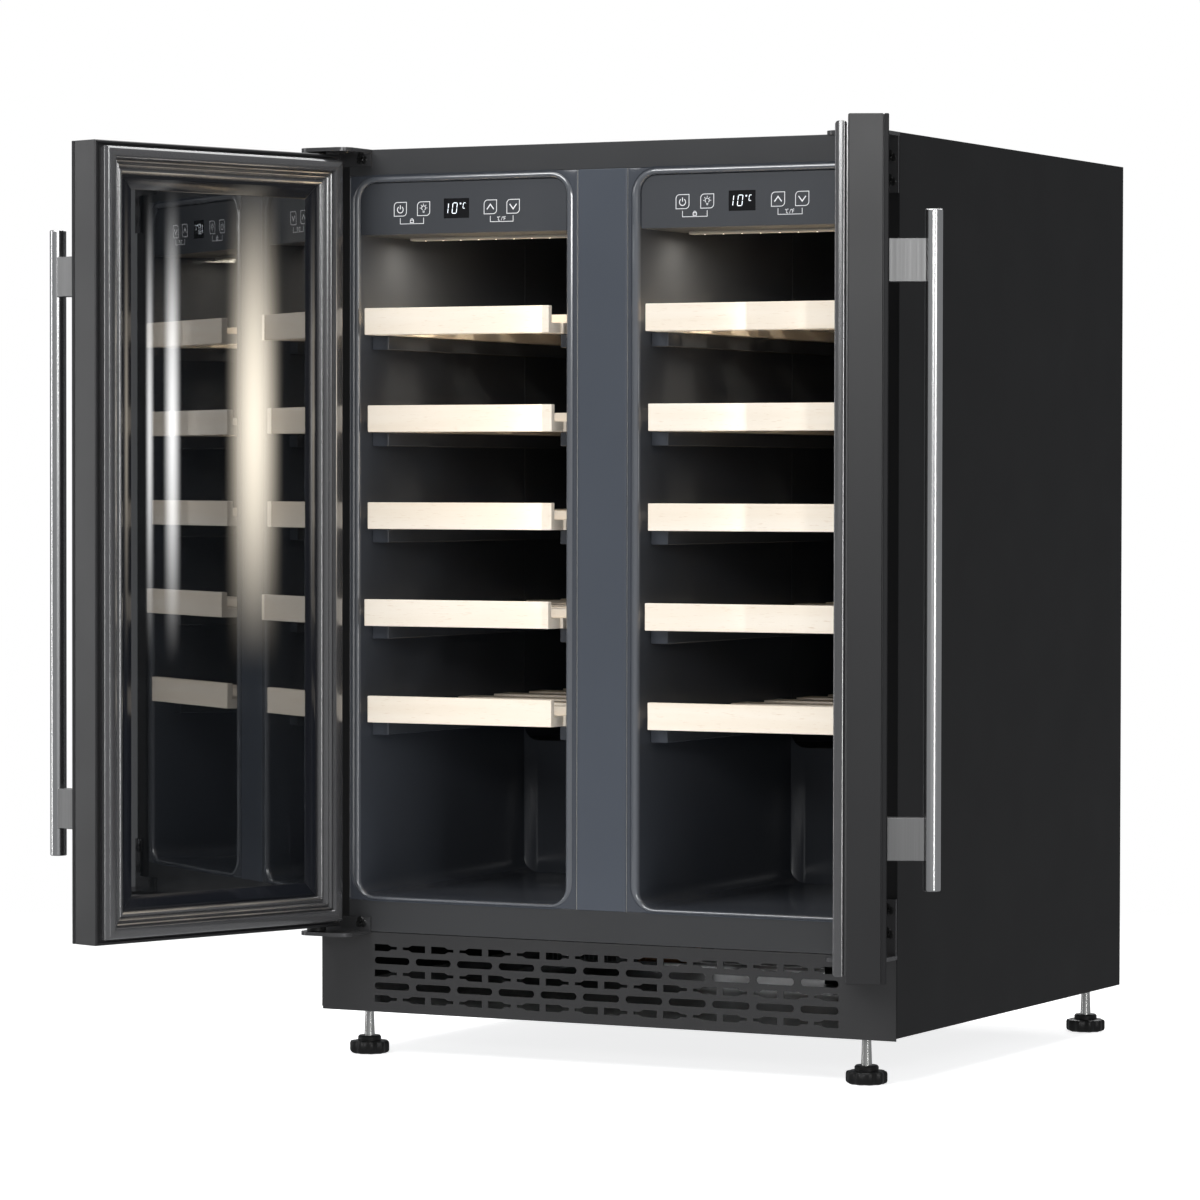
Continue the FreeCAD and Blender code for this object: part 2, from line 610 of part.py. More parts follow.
def controls():
    """Over each doorway: a moulded panel with a display window, the display module and a lamp strip."""
    modules = []
    lamps = []
    for side in (-1, 1):
        name = f"control_panel_{side_name(side)}"
        middle = outward(side, "half_gap + cell_width / 2")
        x = across(side, "half_gap + panel_gap", "half_gap + cell_width - panel_gap")
        face_y = ("panel_front", "panel_front + panel_thick")
        face = slab(name + "_face", x, face_y, ("panel_low", "cell_high - panel_gap"))
        round_face = rounded(name + "_face_round", face, size("cell_corner") - 1,
                             lambda edge: along(edge, Vector(0, 1, 0)) and edge.CenterOfMass.z > 800)
        shelf_y = ("panel_front + panel_thick", "panel_deep")
        under = slab(name + "_under", x, shelf_y, ("panel_low", "panel_low + panel_skin"))
        rear = slab(name + "_rear", x, ("panel_deep - panel_skin", "panel_deep"),
                    ("panel_low + panel_skin", "cell_high - cell_corner"))
        shown = f"{middle} + display_x"
        window_x = (f"{shown} - display_wide / 2", f"{shown} + display_wide / 2")
        window_z = ("display_low", "display_low + display_tall")
        face_back = "panel_front + panel_thick"
        window = slab(name + "_window", window_x, ("panel_front - 2", f"{face_back} + 2"), window_z)
        node(cut(name, fuse(name + "_blank", round_face, under, rear), window), name)
        lens = slab(name + "_display", window_x, ("panel_front + display_sunk", face_back), window_z)
        board = slab(name + "_board", (f"{middle} - board_left", f"{middle} + board_right"),
                     (face_back, f"{face_back} + board_thick"),
                     ("panel_low + board_low", "panel_low + board_high"))
        modules += [lens, board]
        lamps.append(slab(name + "_lamp", (f"{middle} - lamp_long / 2", f"{middle} + lamp_long / 2"),
                          ("lamp_y", "lamp_y + lamp_wide"), ("panel_low - lamp_thick", "panel_low")))
    node(group("display_modules", *modules), "display_modules")
    node(group("lamp_strips", *lamps), "lamp_strips")


# ---------------------------------------------------------------- fans and cooling

def fan_housing(name, width, deep, radius):
    """Square fan frame along local +Z with a motor cup on struts and a shaft for the rotor."""
    half = width / 2
    shell = Part.makeBox(2 * half, 2 * half, deep, Vector(-half, -half, 0))
    shell = shell.cut(Part.makeCylinder(radius + 2, deep + 2, Vector(0, 0, -1)))
    hub = size("fan_hub")
    cup = Part.makeCylinder(hub, 4, Vector(0, 0, 0))
    struts = []
    for i in range(3):
        strut = Part.makeBox(half, 4, 3, Vector(hub - 2, -2, 0))
        strut.rotate(Vector(), UP, 45 + 120 * i)
        struts.append(strut.common(Part.makeCylinder(radius + 2.5, 3)))
    shaft = Part.makeCylinder(size("fan_shaft"), deep - 5, Vector(0, 0, 4))
    piece = doc.addObject("Part::Feature", name)
    piece.Shape = shell.fuse([cup, shaft] + struts).removeSplitter()
    return piece


def fan_rotor(name, deep, radius):
    """Seven-bladed rotor along local +Z, bored to run on the housing's shaft."""
    hub = size("fan_hub")
    low = 5
    tall = deep - low - 1
    core = Part.makeCylinder(hub, tall, Vector(0, 0, low))
    sweep = Part.makeCylinder(radius, tall, Vector(0, 0, low))
    blades = []
    for i in range(7):
        blade = Part.makeBox(radius, radius * 0.62, 1.6, Vector(hub - 3, -radius * 0.31, -0.8))
        blade.rotate(Vector(), Vector(1, 0, 0), 32)
        blade.translate(Vector(0, 0, low + tall / 2))
        blade.rotate(Vector(), UP, i * 360 / 7)
        blades.append(blade.common(sweep))
    bore = Part.makeCylinder(size("fan_shaft") + 0.05, tall + 2, Vector(0, 0, low - 1))
    piece = doc.addObject("Part::Feature", name)
    piece.Shape = core.fuse(blades).cut(bore).removeSplitter()
    return piece


def coil_middle(x):
    """A point on the line through the middle of the condenser coil, along X."""
    return Vector(x, size("coil_y") + size("coil_deep") / 2, size("coil_low") + size("coil_tall") / 2)


def fans():
    """Circulation fans behind the two duct covers and the condenser fan in the compressor bay."""
    frames = []
    small = (size("fan_size"), size("fan_deep"), size("fan_rim"))
    large = (size("bay_fan_size"), size("bay_fan_deep"), size("bay_fan_rim"))
    back_y = size("duct_y") + size("duct_thick") + size("fan_deep") + 0.5
    facing_front = Rotation(Vector(1, 0, 0), 90)
    facing_coil = Rotation(Vector(0, 1, 0), -90)
    middle = size("half_gap") + size("cell_width") / 2
    for kind, at, turn, (width, deep, rim) in (
        ("fan_{}_left", Vector(-middle, back_y, size("fan_z")), facing_front, small),
        ("fan_{}_right", Vector(middle, back_y, size("fan_z")), facing_front, small),
        ("condenser_fan_{}", coil_middle(size("bay_fan_x")), facing_coil, large),
    ):
        radius = width / 2 - rim
        frame = fan_housing(kind.format("frame"), width, deep, radius)
        frame.Placement = Placement(at, turn)
        frames.append(frame)
        rotor = fan_rotor(kind.format("rotor"), deep, radius)
        rotor.Placement = Placement(at, turn)
        node(rotor, rotor.Name)
    node(group("fan_frames", *frames), "fan_frames")


def duct_covers():
    """Perforated panel across the back of each compartment, with an outlet in front of its fan."""
    covers = []
    for side in (-1, 1):
        name = f"duct_{side_name(side)}"
        middle = outward(side, "half_gap + cell_width / 2")
        x = across(side, "half_gap + 1", "half_gap + cell_width - 1")
        plate = slab(name + "_plate", x, ("duct_y", "duct_y + duct_thick"), ("duct_low", "duct_high"))
        outlet_at = (middle, "duct_y - 1", "fan_z")
        openings = [rod(name + "_outlet", "y", outlet_at, "fan_size / 2 - 4", "duct_thick + 2")]
        slot_x = (f"{middle} - duct_slot_half", f"{middle} + duct_slot_half")
        for i in range(int(size("duct_slots"))):
            low = f"duct_low + 20 + {i} * duct_slot_pitch"
            openings.append(slab(f"{name}_slot_{i}", slot_x, ("duct_y - 1", "duct_y + duct_thick + 1"),
                                 (low, f"{low} + duct_slot_tall")))
        covers.append(cut(name, plate, *openings))
    node(group("air_duct_covers", *covers), "air_duct_covers")


def evaporators():
    """Roll-bond cooling plates behind the duct covers."""
    plates = []
    for side in (-1, 1):
        middle = outward(side, "half_gap + cell_width / 2")
        x = (f"{middle} - evap_wide / 2", f"{middle} + evap_wide / 2")
        plates.append(slab(f"evaporator_{side_name(side)}", x, ("evap_y", "evap_y + evap_thick"),
                           ("evap_low", "evap_high")))
    node(group("evaporators", *plates), "evaporators")


def temperature_sensors():
    """A small capped probe on the front of each duct cover."""
    probes = []
    for side in (-1, 1):
        at = (outward(side, "half_gap + sensor_in"), "duct_y - 5", "duct_high - 60")
        probes.append(rod(f"sensor_{side_name(side)}", "z", at, "sensor_r", "sensor_long"))
    node(group("temperature_sensors", *probes), "temperature_sensors")


def compressor():
    """Hermetic compressor: a domed steel shell welded to a foot plate."""
    shell = body("compressor_shell")
    profile = sketch_on(shell, "compressor_profile", "XZ_Plane", 0)
    radius, tall, dome = size("comp_r"), size("comp_tall"), 26
    low = Vector(0, 0, 0)
    high = Vector(0, tall, 0)
    wall_low, wall_high = Vector(radius, dome, 0), Vector(radius, tall - dome, 0)
    dome_r = (radius ** 2 + dome ** 2) / (2 * dome)
    part_way = radius * 0.6
    rise = dome_r - math.sqrt(dome_r ** 2 - part_way ** 2)
    profile.addGeometry(Part.Arc(low, Vector(part_way, rise, 0), wall_low), False)
    profile.addGeometry(Part.LineSegment(wall_low, wall_high), False)
    profile.addGeometry(Part.Arc(wall_high, Vector(part_way, tall - rise, 0), high), False)
    profile.addGeometry(Part.LineSegment(high, low), False)
    turned_about_z(shell, profile)
    place(shell, ("comp_x", "comp_y", "comp_low"))
    foot = slab("compressor_foot", ("comp_x - mount_dx - 14", "comp_x + mount_dx + 14"),
                ("comp_y - mount_dy - 14", "comp_y + mount_dy + 14"), ("comp_low", "comp_low + comp_foot"))
    relay = slab("compressor_relay", ("comp_x + comp_r - 12", "comp_x + comp_r + 20"),
                 ("comp_y - 24", "comp_y + 24"), ("comp_low + 34", "comp_low + 92"))
    node(fuse("compressor", shell, foot, relay), "compressor")
    mounts = []
    for i, (dx, dy) in enumerate(((-1, -1), (1, -1), (-1, 1), (1, 1))):
        at = (f"comp_x + {dx} * mount_dx", f"comp_y + {dy} * mount_dy", FLOOR_TOP)
        mounts.append(rod(f"rubber_{i}", "z", at, "mount_r", f"comp_low - ({FLOOR_TOP})"))
    node(group("compressor_mounts", *mounts), "compressor_mounts")


def condenser():
    """Finned coil: straight tubes along X joined by return bends, through a stack of fins."""
    tube_r, bend_r = size("coil_tube"), size("coil_bend")
    rows = int(size("coil_rows"))
    long = size("coil_long")
    first = coil_middle(size("coil_x")) - Vector(0, 0, bend_r * (rows - 1))
    tubes = []
    holes = []
    for i in range(rows):
        start = first + Vector(0, 0, 2 * bend_r * i)
        tubes.append(Part.makeCylinder(tube_r, long, start, Vector(1, 0, 0)))
        holes.append(Part.makeCylinder(tube_r + 0.1, long, start, Vector(1, 0, 0)))
    for i in range(rows - 1):
        far_end = i % 2 == 0
        centre = first + Vector(long if far_end else 0, 0, bend_r * (2 * i + 1))
        bend = Part.makeTorus(bend_r, tube_r, Vector(), UP, -180, 180, 180)
        bend.Placement = Placement(centre, Rotation(Vector(1, 0, 0), 90))
        bend.rotate(centre, Vector(0, 1, 0), 90 if far_end else -90)
        tubes.append(bend)
    coil = tubes[0].fuse(tubes[1:]).removeSplitter()
    pierced = holes[0].fuse(holes[1:])
    fins = []
    fin_count, fin_thick, margin = int(size("fin_count")), size("fin_thick"), size("fin_margin")
    fin_pitch = (long - 2 * margin - fin_thick) / (fin_count - 1)
    for i in range(fin_count):
        at = Vector(first.x + margin + i * fin_pitch, size("coil_y"), size("coil_low"))
        fin = Part.makeBox(fin_thick, size("coil_deep"), size("coil_tall"), at)
        fins.append(fin.cut(pierced))
    piece = doc.addObject("Part::Feature", "condenser_coil")
    piece.Shape = Part.makeCompound([coil] + fins)
    node(piece, "condenser_coil")


def drip_tray():
    """Evaporation tray that sits over the compressor."""
    x = ("comp_x - drip_half_x", "comp_x + drip_half_x")
    y = ("comp_y - drip_half_y", "comp_y + drip_half_y")
    block = slab("drip_block", x, y, ("tray_low", "tray_low + drip_tall"))
    hollow_x = (x[0] + " + drip_wall", x[1] + " - drip_wall")
    hollow_y = (y[0] + " + drip_wall", y[1] + " - drip_wall")
    hollow = slab("drip_hollow", hollow_x, hollow_y, ("tray_low + drip_wall", "tray_low + 2 * drip_tall"))
    node(cut("drip_tray", block, hollow), "drip_tray")


def tube(points, radius, bend):
    """A tube along straight runs joined by tangent arcs."""
    edges = []
    last = points[0]
    for before, corner, after in zip(points, points[1:], points[2:]):
        back = (before - corner).normalize()
        ahead = (after - corner).normalize()
        half = back.getAngle(ahead) / 2
        reach = bend / math.tan(half)
        start = corner + back * reach
        end = corner + ahead * reach
        middle_way = (back + ahead).normalize()
        centre = corner + middle_way * (bend / math.sin(half))
        edges.append(Part.LineSegment(last, start).toShape())
        edges.append(Part.Arc(start, centre - middle_way * bend, end).toShape())
        last = end
    edges.append(Part.LineSegment(last, points[-1]).toShape())
    path = Part.Wire(edges)
    section = Part.Wire(Part.makeCircle(radius, points[0], points[1] - points[0]))
    return path.makePipeShell([section], True, False)


def refrigerant_pipes():
    """Discharge, liquid and suction lines in the compressor bay, and the filter drier."""
    top = size("comp_low") + size("comp_tall")
    cx, cy = size("comp_x"), size("comp_y")
    discharge = [Vector(cx - 40, cy - 66, top - 50), Vector(cx - 40, cy - 84, top - 50),
                 Vector(cx - 40, cy - 84, 90), Vector(-80, cy - 84, 90), Vector(-80, cy - 84, 66),
                 Vector(-146, cy - 84, 66)]
    suction = [Vector(cx + 10, cy - 64, top - 40), Vector(cx + 10, cy - 86, top - 40),
               Vector(cx + 10, cy - 86, size("bay_high") - 1)]
    drier_x, drier_y, drier_low = size("drier_x"), size("drier_y"), size("drier_low")
    liquid = [Vector(-120, drier_y, 66), Vector(drier_x, drier_y, 66), Vector(drier_x, drier_y, drier_low)]
    drier_top = Vector(drier_x, drier_y, drier_low + size("drier_tall"))
    capillary = Part.makeCylinder(1.5, size("bay_high") - 1 - drier_top.z, drier_top)
    lines = [tube(discharge, 3, 10), tube(suction, 4, 12), tube(liquid, 2.5, 10), capillary]
    piece = doc.addObject("Part::Feature", "refrigerant_pipes")
    piece.Shape = Part.makeCompound(lines)
    node(piece, "refrigerant_pipes")
    drier = rod("drier_barrel", "z", ("drier_x", "drier_y", "drier_low"), "drier_r", "drier_tall")
    node(group("filter_drier", drier), "filter_drier")


def rear_cover():
    """Louvred cover over the compressor bay, with a cut-out for the power inlet."""
    half = f"({INNER_X} - cover_clear)"
    plate_y = (BACK_Y, f"{BACK_Y} + gauge")
    plate = slab("rear_plate", (f"-{half}", half), plate_y, (FLOOR_TOP, "bay_high"))
    through = (f"{BACK_Y} - 2", f"{BACK_Y} + gauge + 2")
    shell_x = ("inlet_x - inlet_half", "inlet_x + inlet_half")
    shell_z = ("inlet_z - inlet_half_tall", "inlet_z + inlet_half_tall")
    openings = [slab("rear_inlet_hole", shell_x, through, shell_z)]
    columns = int(size("louvre_columns"))
    for column in range(columns):
        middle = f"({column} - {(columns - 1) / 2}) * column_pitch"
        louvre_x = (f"{middle} - louvre_half", f"{middle} + louvre_half")
        for row in range(int(size("louvre_rows"))):
            z = f"louvre_low + {row} * louvre_pitch"
            openings.append(slab(f"louvre_{column}_{row}", louvre_x, through, (z, f"{z} + louvre_tall")))
    node(cut("rear_cover", plate, *openings), "rear_cover")

    mouth = f"{BACK_Y} + gauge + inlet_proud"
    shell = slab("inlet_shell", shell_x, (f"{mouth} - inlet_deep", mouth), shell_z)
    recess_floor = f"{mouth} - inlet_recess"
    recess_x = (shell_x[0] + " + inlet_wall", shell_x[1] + " - inlet_wall")
    recess_z = (shell_z[0] + " + inlet_wall", shell_z[1] + " - inlet_wall")
    recess = slab("inlet_recess_space", recess_x, (recess_floor, mouth + " + 1"), recess_z)
    case = cut("inlet_case", shell, recess)
    contacts = []
    for i, (across_x, up_z) in enumerate(((-7, -2), (0, 2), (7, -2))):
        contact_x = (f"inlet_x + {across_x - 1}", f"inlet_x + {across_x + 1}")
        contact_z = (f"inlet_z + {up_z - 2}", f"inlet_z + {up_z + 2}")
        contact_y = (f"{recess_floor} - 1", f"{mouth} - 3")
        contacts.append(slab(f"inlet_pin_{i}", contact_x, contact_y, contact_z))
    node(fuse("power_inlet", case, *contacts), "power_inlet")


# ---------------------------------------------------------------- levelling feet

def levelling_foot(name, x, y):
    """Threaded stem on a scalloped hand-turned foot."""
    profile_owner = body(name + "_knob")
    profile = sketch_on(profile_owner, name + "_profile", "XZ_Plane", 0)
    wide, hub = size("knob_r"), size("hub_r")
    step, high = size("knob_tall"), size("knob_tall") + size("hub_tall")
    add_loop(profile, [(0, 0), (wide - 1.5, 0), (wide, 1.5), (wide, step - 2), (wide - 2, step),
                       (hub + 1, step), (hub, high), (0, high)])
    turned_about_z(profile_owner, profile)
    scallop = sketch_on(profile_owner, name + "_scallop", "XY_Plane", -1)
    scallop.addGeometry(Part.Circle(Vector(wide + 4.5, 0, 0), UP, 7), False)
    bite = profile_owner.newObject("PartDesign::Pocket", name + "_bite")
    bite.Profile = scallop
    bite.Length = step + 1.2
    bite.Reversed = True
    doc.recompute()
    bites = profile_owner.newObject("PartDesign::PolarPattern", name + "_bites")
    bites.Originals = [bite]
    bites.Axis = (profile_owner.Origin.OriginFeatures[2], [""])
    bites.Angle = 360
    bites.Occurrences = 8
    profile_owner.Tip = bites
    place(profile_owner, (x, y, 0))
    knob_top = "knob_tall + hub_tall"
    stem = rod(name + "_stem", "z", (x, y, knob_top), "stem_r", f"stem_high - ({knob_top})")
    node(group(name, profile_owner, stem), name)


# ---------------------------------------------------------------- the assembly

def build():
    for side in (-1, 1):
        side_panel(side)
    top_panel()
    back_panel()
    front_rails()
    mullion_cover()
    kick_plate()
    base_tray()
    insulation_foam(liner(-1), liner(1))
    shelf_runners()
    for side in (-1, 1):
        for level in range(int(size("shelf_count"))):
            shelf(side, level)
    for side in (-1, 1):
        door(side)
    hinges()
    controls()
    fans()
    duct_covers()
    evaporators()
    temperature_sensors()
    compressor()
    condenser()
    drip_tray()
    refrigerant_pipes()
    rear_cover()
    for name, (x, y) in FOOT_PLACES.items():
        levelling_foot(name, x, y)


def check():
    """Stop if any object failed or any sub-part has no sound shape."""
    doc.recompute()
    failed = [item.Name for item in doc.Objects if {"Invalid", "Error"} & set(item.State)]
    if failed:
        raise RuntimeError(f"objects that failed: {failed}")
    for piece in NODES:
        shape = piece.Shape
        if shape.isNull() or not shape.isValid() or not shape.Solids:
            raise RuntimeError(f"{piece.Label} has no sound shape")


def export():
    for piece in NODES:
        piece.Shape.exportStep(f"parts/{piece.Label}.step")
        box = piece.Shape.BoundBox
        print(f"{piece.Label:26s} {len(piece.Shape.Solids):3d} solids  "
              f"x {box.XMin:7.1f} {box.XMax:7.1f}  y {box.YMin:7.1f} {box.YMax:7.1f}  "
              f"z {box.ZMin:7.1f} {box.ZMax:7.1f}")


build()
check()
export()
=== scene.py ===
import json
import math

import bmesh
import bpy
from mathutils import Matrix, Vector

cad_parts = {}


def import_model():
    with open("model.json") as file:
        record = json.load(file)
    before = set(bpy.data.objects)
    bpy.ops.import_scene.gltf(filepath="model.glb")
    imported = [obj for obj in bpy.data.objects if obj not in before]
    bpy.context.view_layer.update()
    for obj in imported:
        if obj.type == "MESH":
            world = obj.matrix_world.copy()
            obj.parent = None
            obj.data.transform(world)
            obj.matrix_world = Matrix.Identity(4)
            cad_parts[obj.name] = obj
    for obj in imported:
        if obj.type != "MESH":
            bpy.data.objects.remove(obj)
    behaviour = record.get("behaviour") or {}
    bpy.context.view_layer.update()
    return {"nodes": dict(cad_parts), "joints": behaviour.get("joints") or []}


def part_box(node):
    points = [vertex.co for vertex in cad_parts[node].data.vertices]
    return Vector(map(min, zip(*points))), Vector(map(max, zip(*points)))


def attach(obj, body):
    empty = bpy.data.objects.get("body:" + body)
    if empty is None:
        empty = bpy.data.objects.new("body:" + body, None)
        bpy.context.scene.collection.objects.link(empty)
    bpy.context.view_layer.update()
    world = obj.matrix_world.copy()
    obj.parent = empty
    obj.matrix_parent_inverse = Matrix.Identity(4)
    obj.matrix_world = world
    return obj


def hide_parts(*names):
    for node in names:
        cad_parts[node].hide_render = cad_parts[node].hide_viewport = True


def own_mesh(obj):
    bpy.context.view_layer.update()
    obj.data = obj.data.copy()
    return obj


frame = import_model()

# Looks of a dual-zone under-counter wine cooler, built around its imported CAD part.
# Pieces are drawn in millimetres in the part's own frame and scaled to metres when they are made.
# Everything on a door is drawn with that door closed and then opened about its hinge.

MM = 0.001
SIDES = {"left": -1, "right": 1}
JOINTS = {joint["name"]: joint for joint in frame["joints"]}
SMOOTH_BELOW = math.radians(38)
BEVEL_ABOVE = math.radians(40)
WELD_WITHIN = 0.01
FLAT_WEIGHT = 80
CORNER_STEPS = 6
PRINT_THICK = 0.15
NOISE_LOW, NOISE_HIGH = 0.2, 0.8


def box_mm(node):
    """Lowest and highest corner of a CAD node, in millimetres."""
    low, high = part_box(node)
    return low / MM, high / MM


# ---------------------------------------------------------------- surfaces

class Surface:
    """A Principled material: its constants sit on the shader, its detail is wired in by nodes."""

    def __init__(self, name, color, roughness, **constants):
        self.material = bpy.data.materials.new(name)
        self.material.use_nodes = True
        self.tree = self.material.node_tree
        self.shader = self.tree.nodes["Principled BSDF"]
        self.set(self.shader, "Base Color", (*color, 1))
        self.set(self.shader, "Roughness", roughness)
        for socket, value in constants.items():
            self.set(self.shader, socket.replace("_", " "), value)

    def set(self, node, socket, value):
        if isinstance(value, bpy.types.NodeSocket):
            self.tree.links.new(value, node.inputs[socket])
        else:
            node.inputs[socket].default_value = value

    def node(self, kind, inputs=None, **settings):
        node = self.tree.nodes.new("ShaderNode" + kind)
        for key, value in settings.items():
            setattr(node, key, value)
        for socket, value in (inputs or {}).items():
            self.set(node, socket, value)
        return node

    def space(self, stretch=(1, 1, 1)):
        """The object's own coordinates in metres, stretched."""
        own = self.node("TexCoord").outputs["Object"]
        return self.node("Mapping", {"Vector": own, "Scale": stretch}).outputs["Vector"]

    def noise(self, scale, detail=2, stretch=(1, 1, 1)):
        inputs = {"Vector": self.space(stretch), "Scale": scale, "Detail": detail}
        return self.node("TexNoise", inputs).outputs["Fac"]

    def between(self, factor, low, high):
        """A number that runs from low to high as a texture does."""
        inputs = {"Value": factor, "From Min": NOISE_LOW, "From Max": NOISE_HIGH,
                  "To Min": low, "To Max": high}
        return self.node("MapRange", inputs).outputs["Result"]

    def mix(self, factor, first, second):
        """A colour between two colours; either may be a socket."""
        node = self.node("Mix", data_type="RGBA")
        for socket, value in zip((node.inputs[0], node.inputs[6], node.inputs[7]), (factor, first, second)):
            if isinstance(value, bpy.types.NodeSocket):
                self.tree.links.new(value, socket)
            else:
                socket.default_value = value if isinstance(value, (int, float)) else (*value, 1)
        return node.outputs[2]

    def paint(self, color):
        self.set(self.shader, "Base Color", color)

    def gloss(self, roughness):
        self.set(self.shader, "Roughness", roughness)

    def relief(self, height, strength, depth):
        bump = self.node("Bump", {"Height": height, "Strength": strength, "Distance": depth * MM})
        self.set(self.shader, "Normal", bump.outputs["Normal"])


def shade(color, factor):
    return tuple(min(1, channel * factor) for channel in color)


def coated(name, color, roughness, grain=900, depth=0.03, spread=0.02, mottle=0.06, **constants):
    """Painted steel or moulded plastic: a fine skin, faint mottling and uneven gloss."""
    surface = Surface(name, color, roughness, **constants)
    patches = surface.between(surface.noise(7, 3), 0, 1)
    surface.paint(surface.mix(patches, shade(color, 1 - mottle), shade(color, 1 + mottle)))
    surface.gloss(surface.between(surface.noise(16, 1), roughness - spread, roughness + spread))
    surface.relief(surface.noise(grain, 2), 0.35, depth)
    return surface.material


def brushed(name, color, roughness, along, fine=2600, **constants):
    """Metal with its polishing lines along one axis."""
    surface = Surface(name, color, roughness, Metallic=1, **constants)
    stretch = [0.004 if axis == along else 1 for axis in "xyz"]
    lines = surface.noise(fine, 3, stretch)
    surface.paint(surface.mix(surface.between(lines, 0, 1), shade(color, 0.86), shade(color, 1.1)))
    surface.gloss(surface.between(surface.noise(fine / 3, 3, stretch), roughness * 0.8, roughness * 1.25))
    surface.relief(lines, 0.25, 0.02)
    return surface.material


def galvanised(name):
    """Zinc-coated sheet with its crystal spangle."""
    dull, bright = (0.4, 0.41, 0.42), (0.48, 0.49, 0.5)
    surface = Surface(name, dull, 0.42, Metallic=1)
    inputs = {"Vector": surface.space(), "Scale": 120}
    crystal = surface.node("TexVoronoi", inputs).outputs["Color"]
    tone = surface.node("SeparateColor", {"Color": crystal}).outputs["Red"]
    surface.paint(surface.mix(tone, dull, bright))
    surface.gloss(surface.node("MapRange", {"Value": tone, "To Min": 0.34, "To Max": 0.5}).outputs["Result"])
    surface.relief(surface.noise(400), 0.2, 0.05)
    return surface.material


def beech(name, along):
    """Pale steamed beech: slow growth bands, short flecks and open pores, all along the grain."""
    pale, warm, fleck = (0.9, 0.83, 0.73), (0.82, 0.72, 0.59), (0.62, 0.46, 0.31)
    surface = Surface(name, pale, 0.5, Specular_IOR_Level=0.35)
    slow = [0.05 if axis == along else 1 for axis in "xyz"]
    short = [0.12 if axis == along else 1 for axis in "xyz"]
    bands = surface.between(surface.noise(70, 5, slow), 0, 1)
    flecks = surface.node("MapRange", {"Value": surface.noise(850, 2, short), "From Min": 0.62,
                                       "From Max": 0.78, "To Min": 0, "To Max": 0.45}).outputs["Result"]
    surface.paint(surface.mix(flecks, surface.mix(bands, pale, warm), fleck))
    surface.gloss(surface.between(bands, 0.42, 0.56))
    surface.relief(surface.noise(1400, 3, short), 0.25, 0.06)
    return surface.material


def tinted_glass(name):
    """Dark coated glass: strong clean reflections and hardly any view through."""
    surface = Surface(name, (0.14, 0.15, 0.16), 0.0, IOR=2.6, Transmission_Weight=1)
    surface.gloss(surface.between(surface.noise(9, 2), 0.0, 0.012))
    return surface.material


def glowing(name, color, strength, roughness=0.4):
    """A surface that gives off light, with a fine grain in its brightness; the display and lamp points are
    real lights, while on the panel's print the glow is painted light.
    """
    surface = Surface(name, color, roughness)
    surface.paint(surface.mix(surface.between(surface.noise(500), 0, 1), shade(color, 0.9), color))
    surface.set(surface.shader, "Emission Color", (*color, 1))
    surface.set(surface.shader, "Emission Strength", strength)
    return surface.material


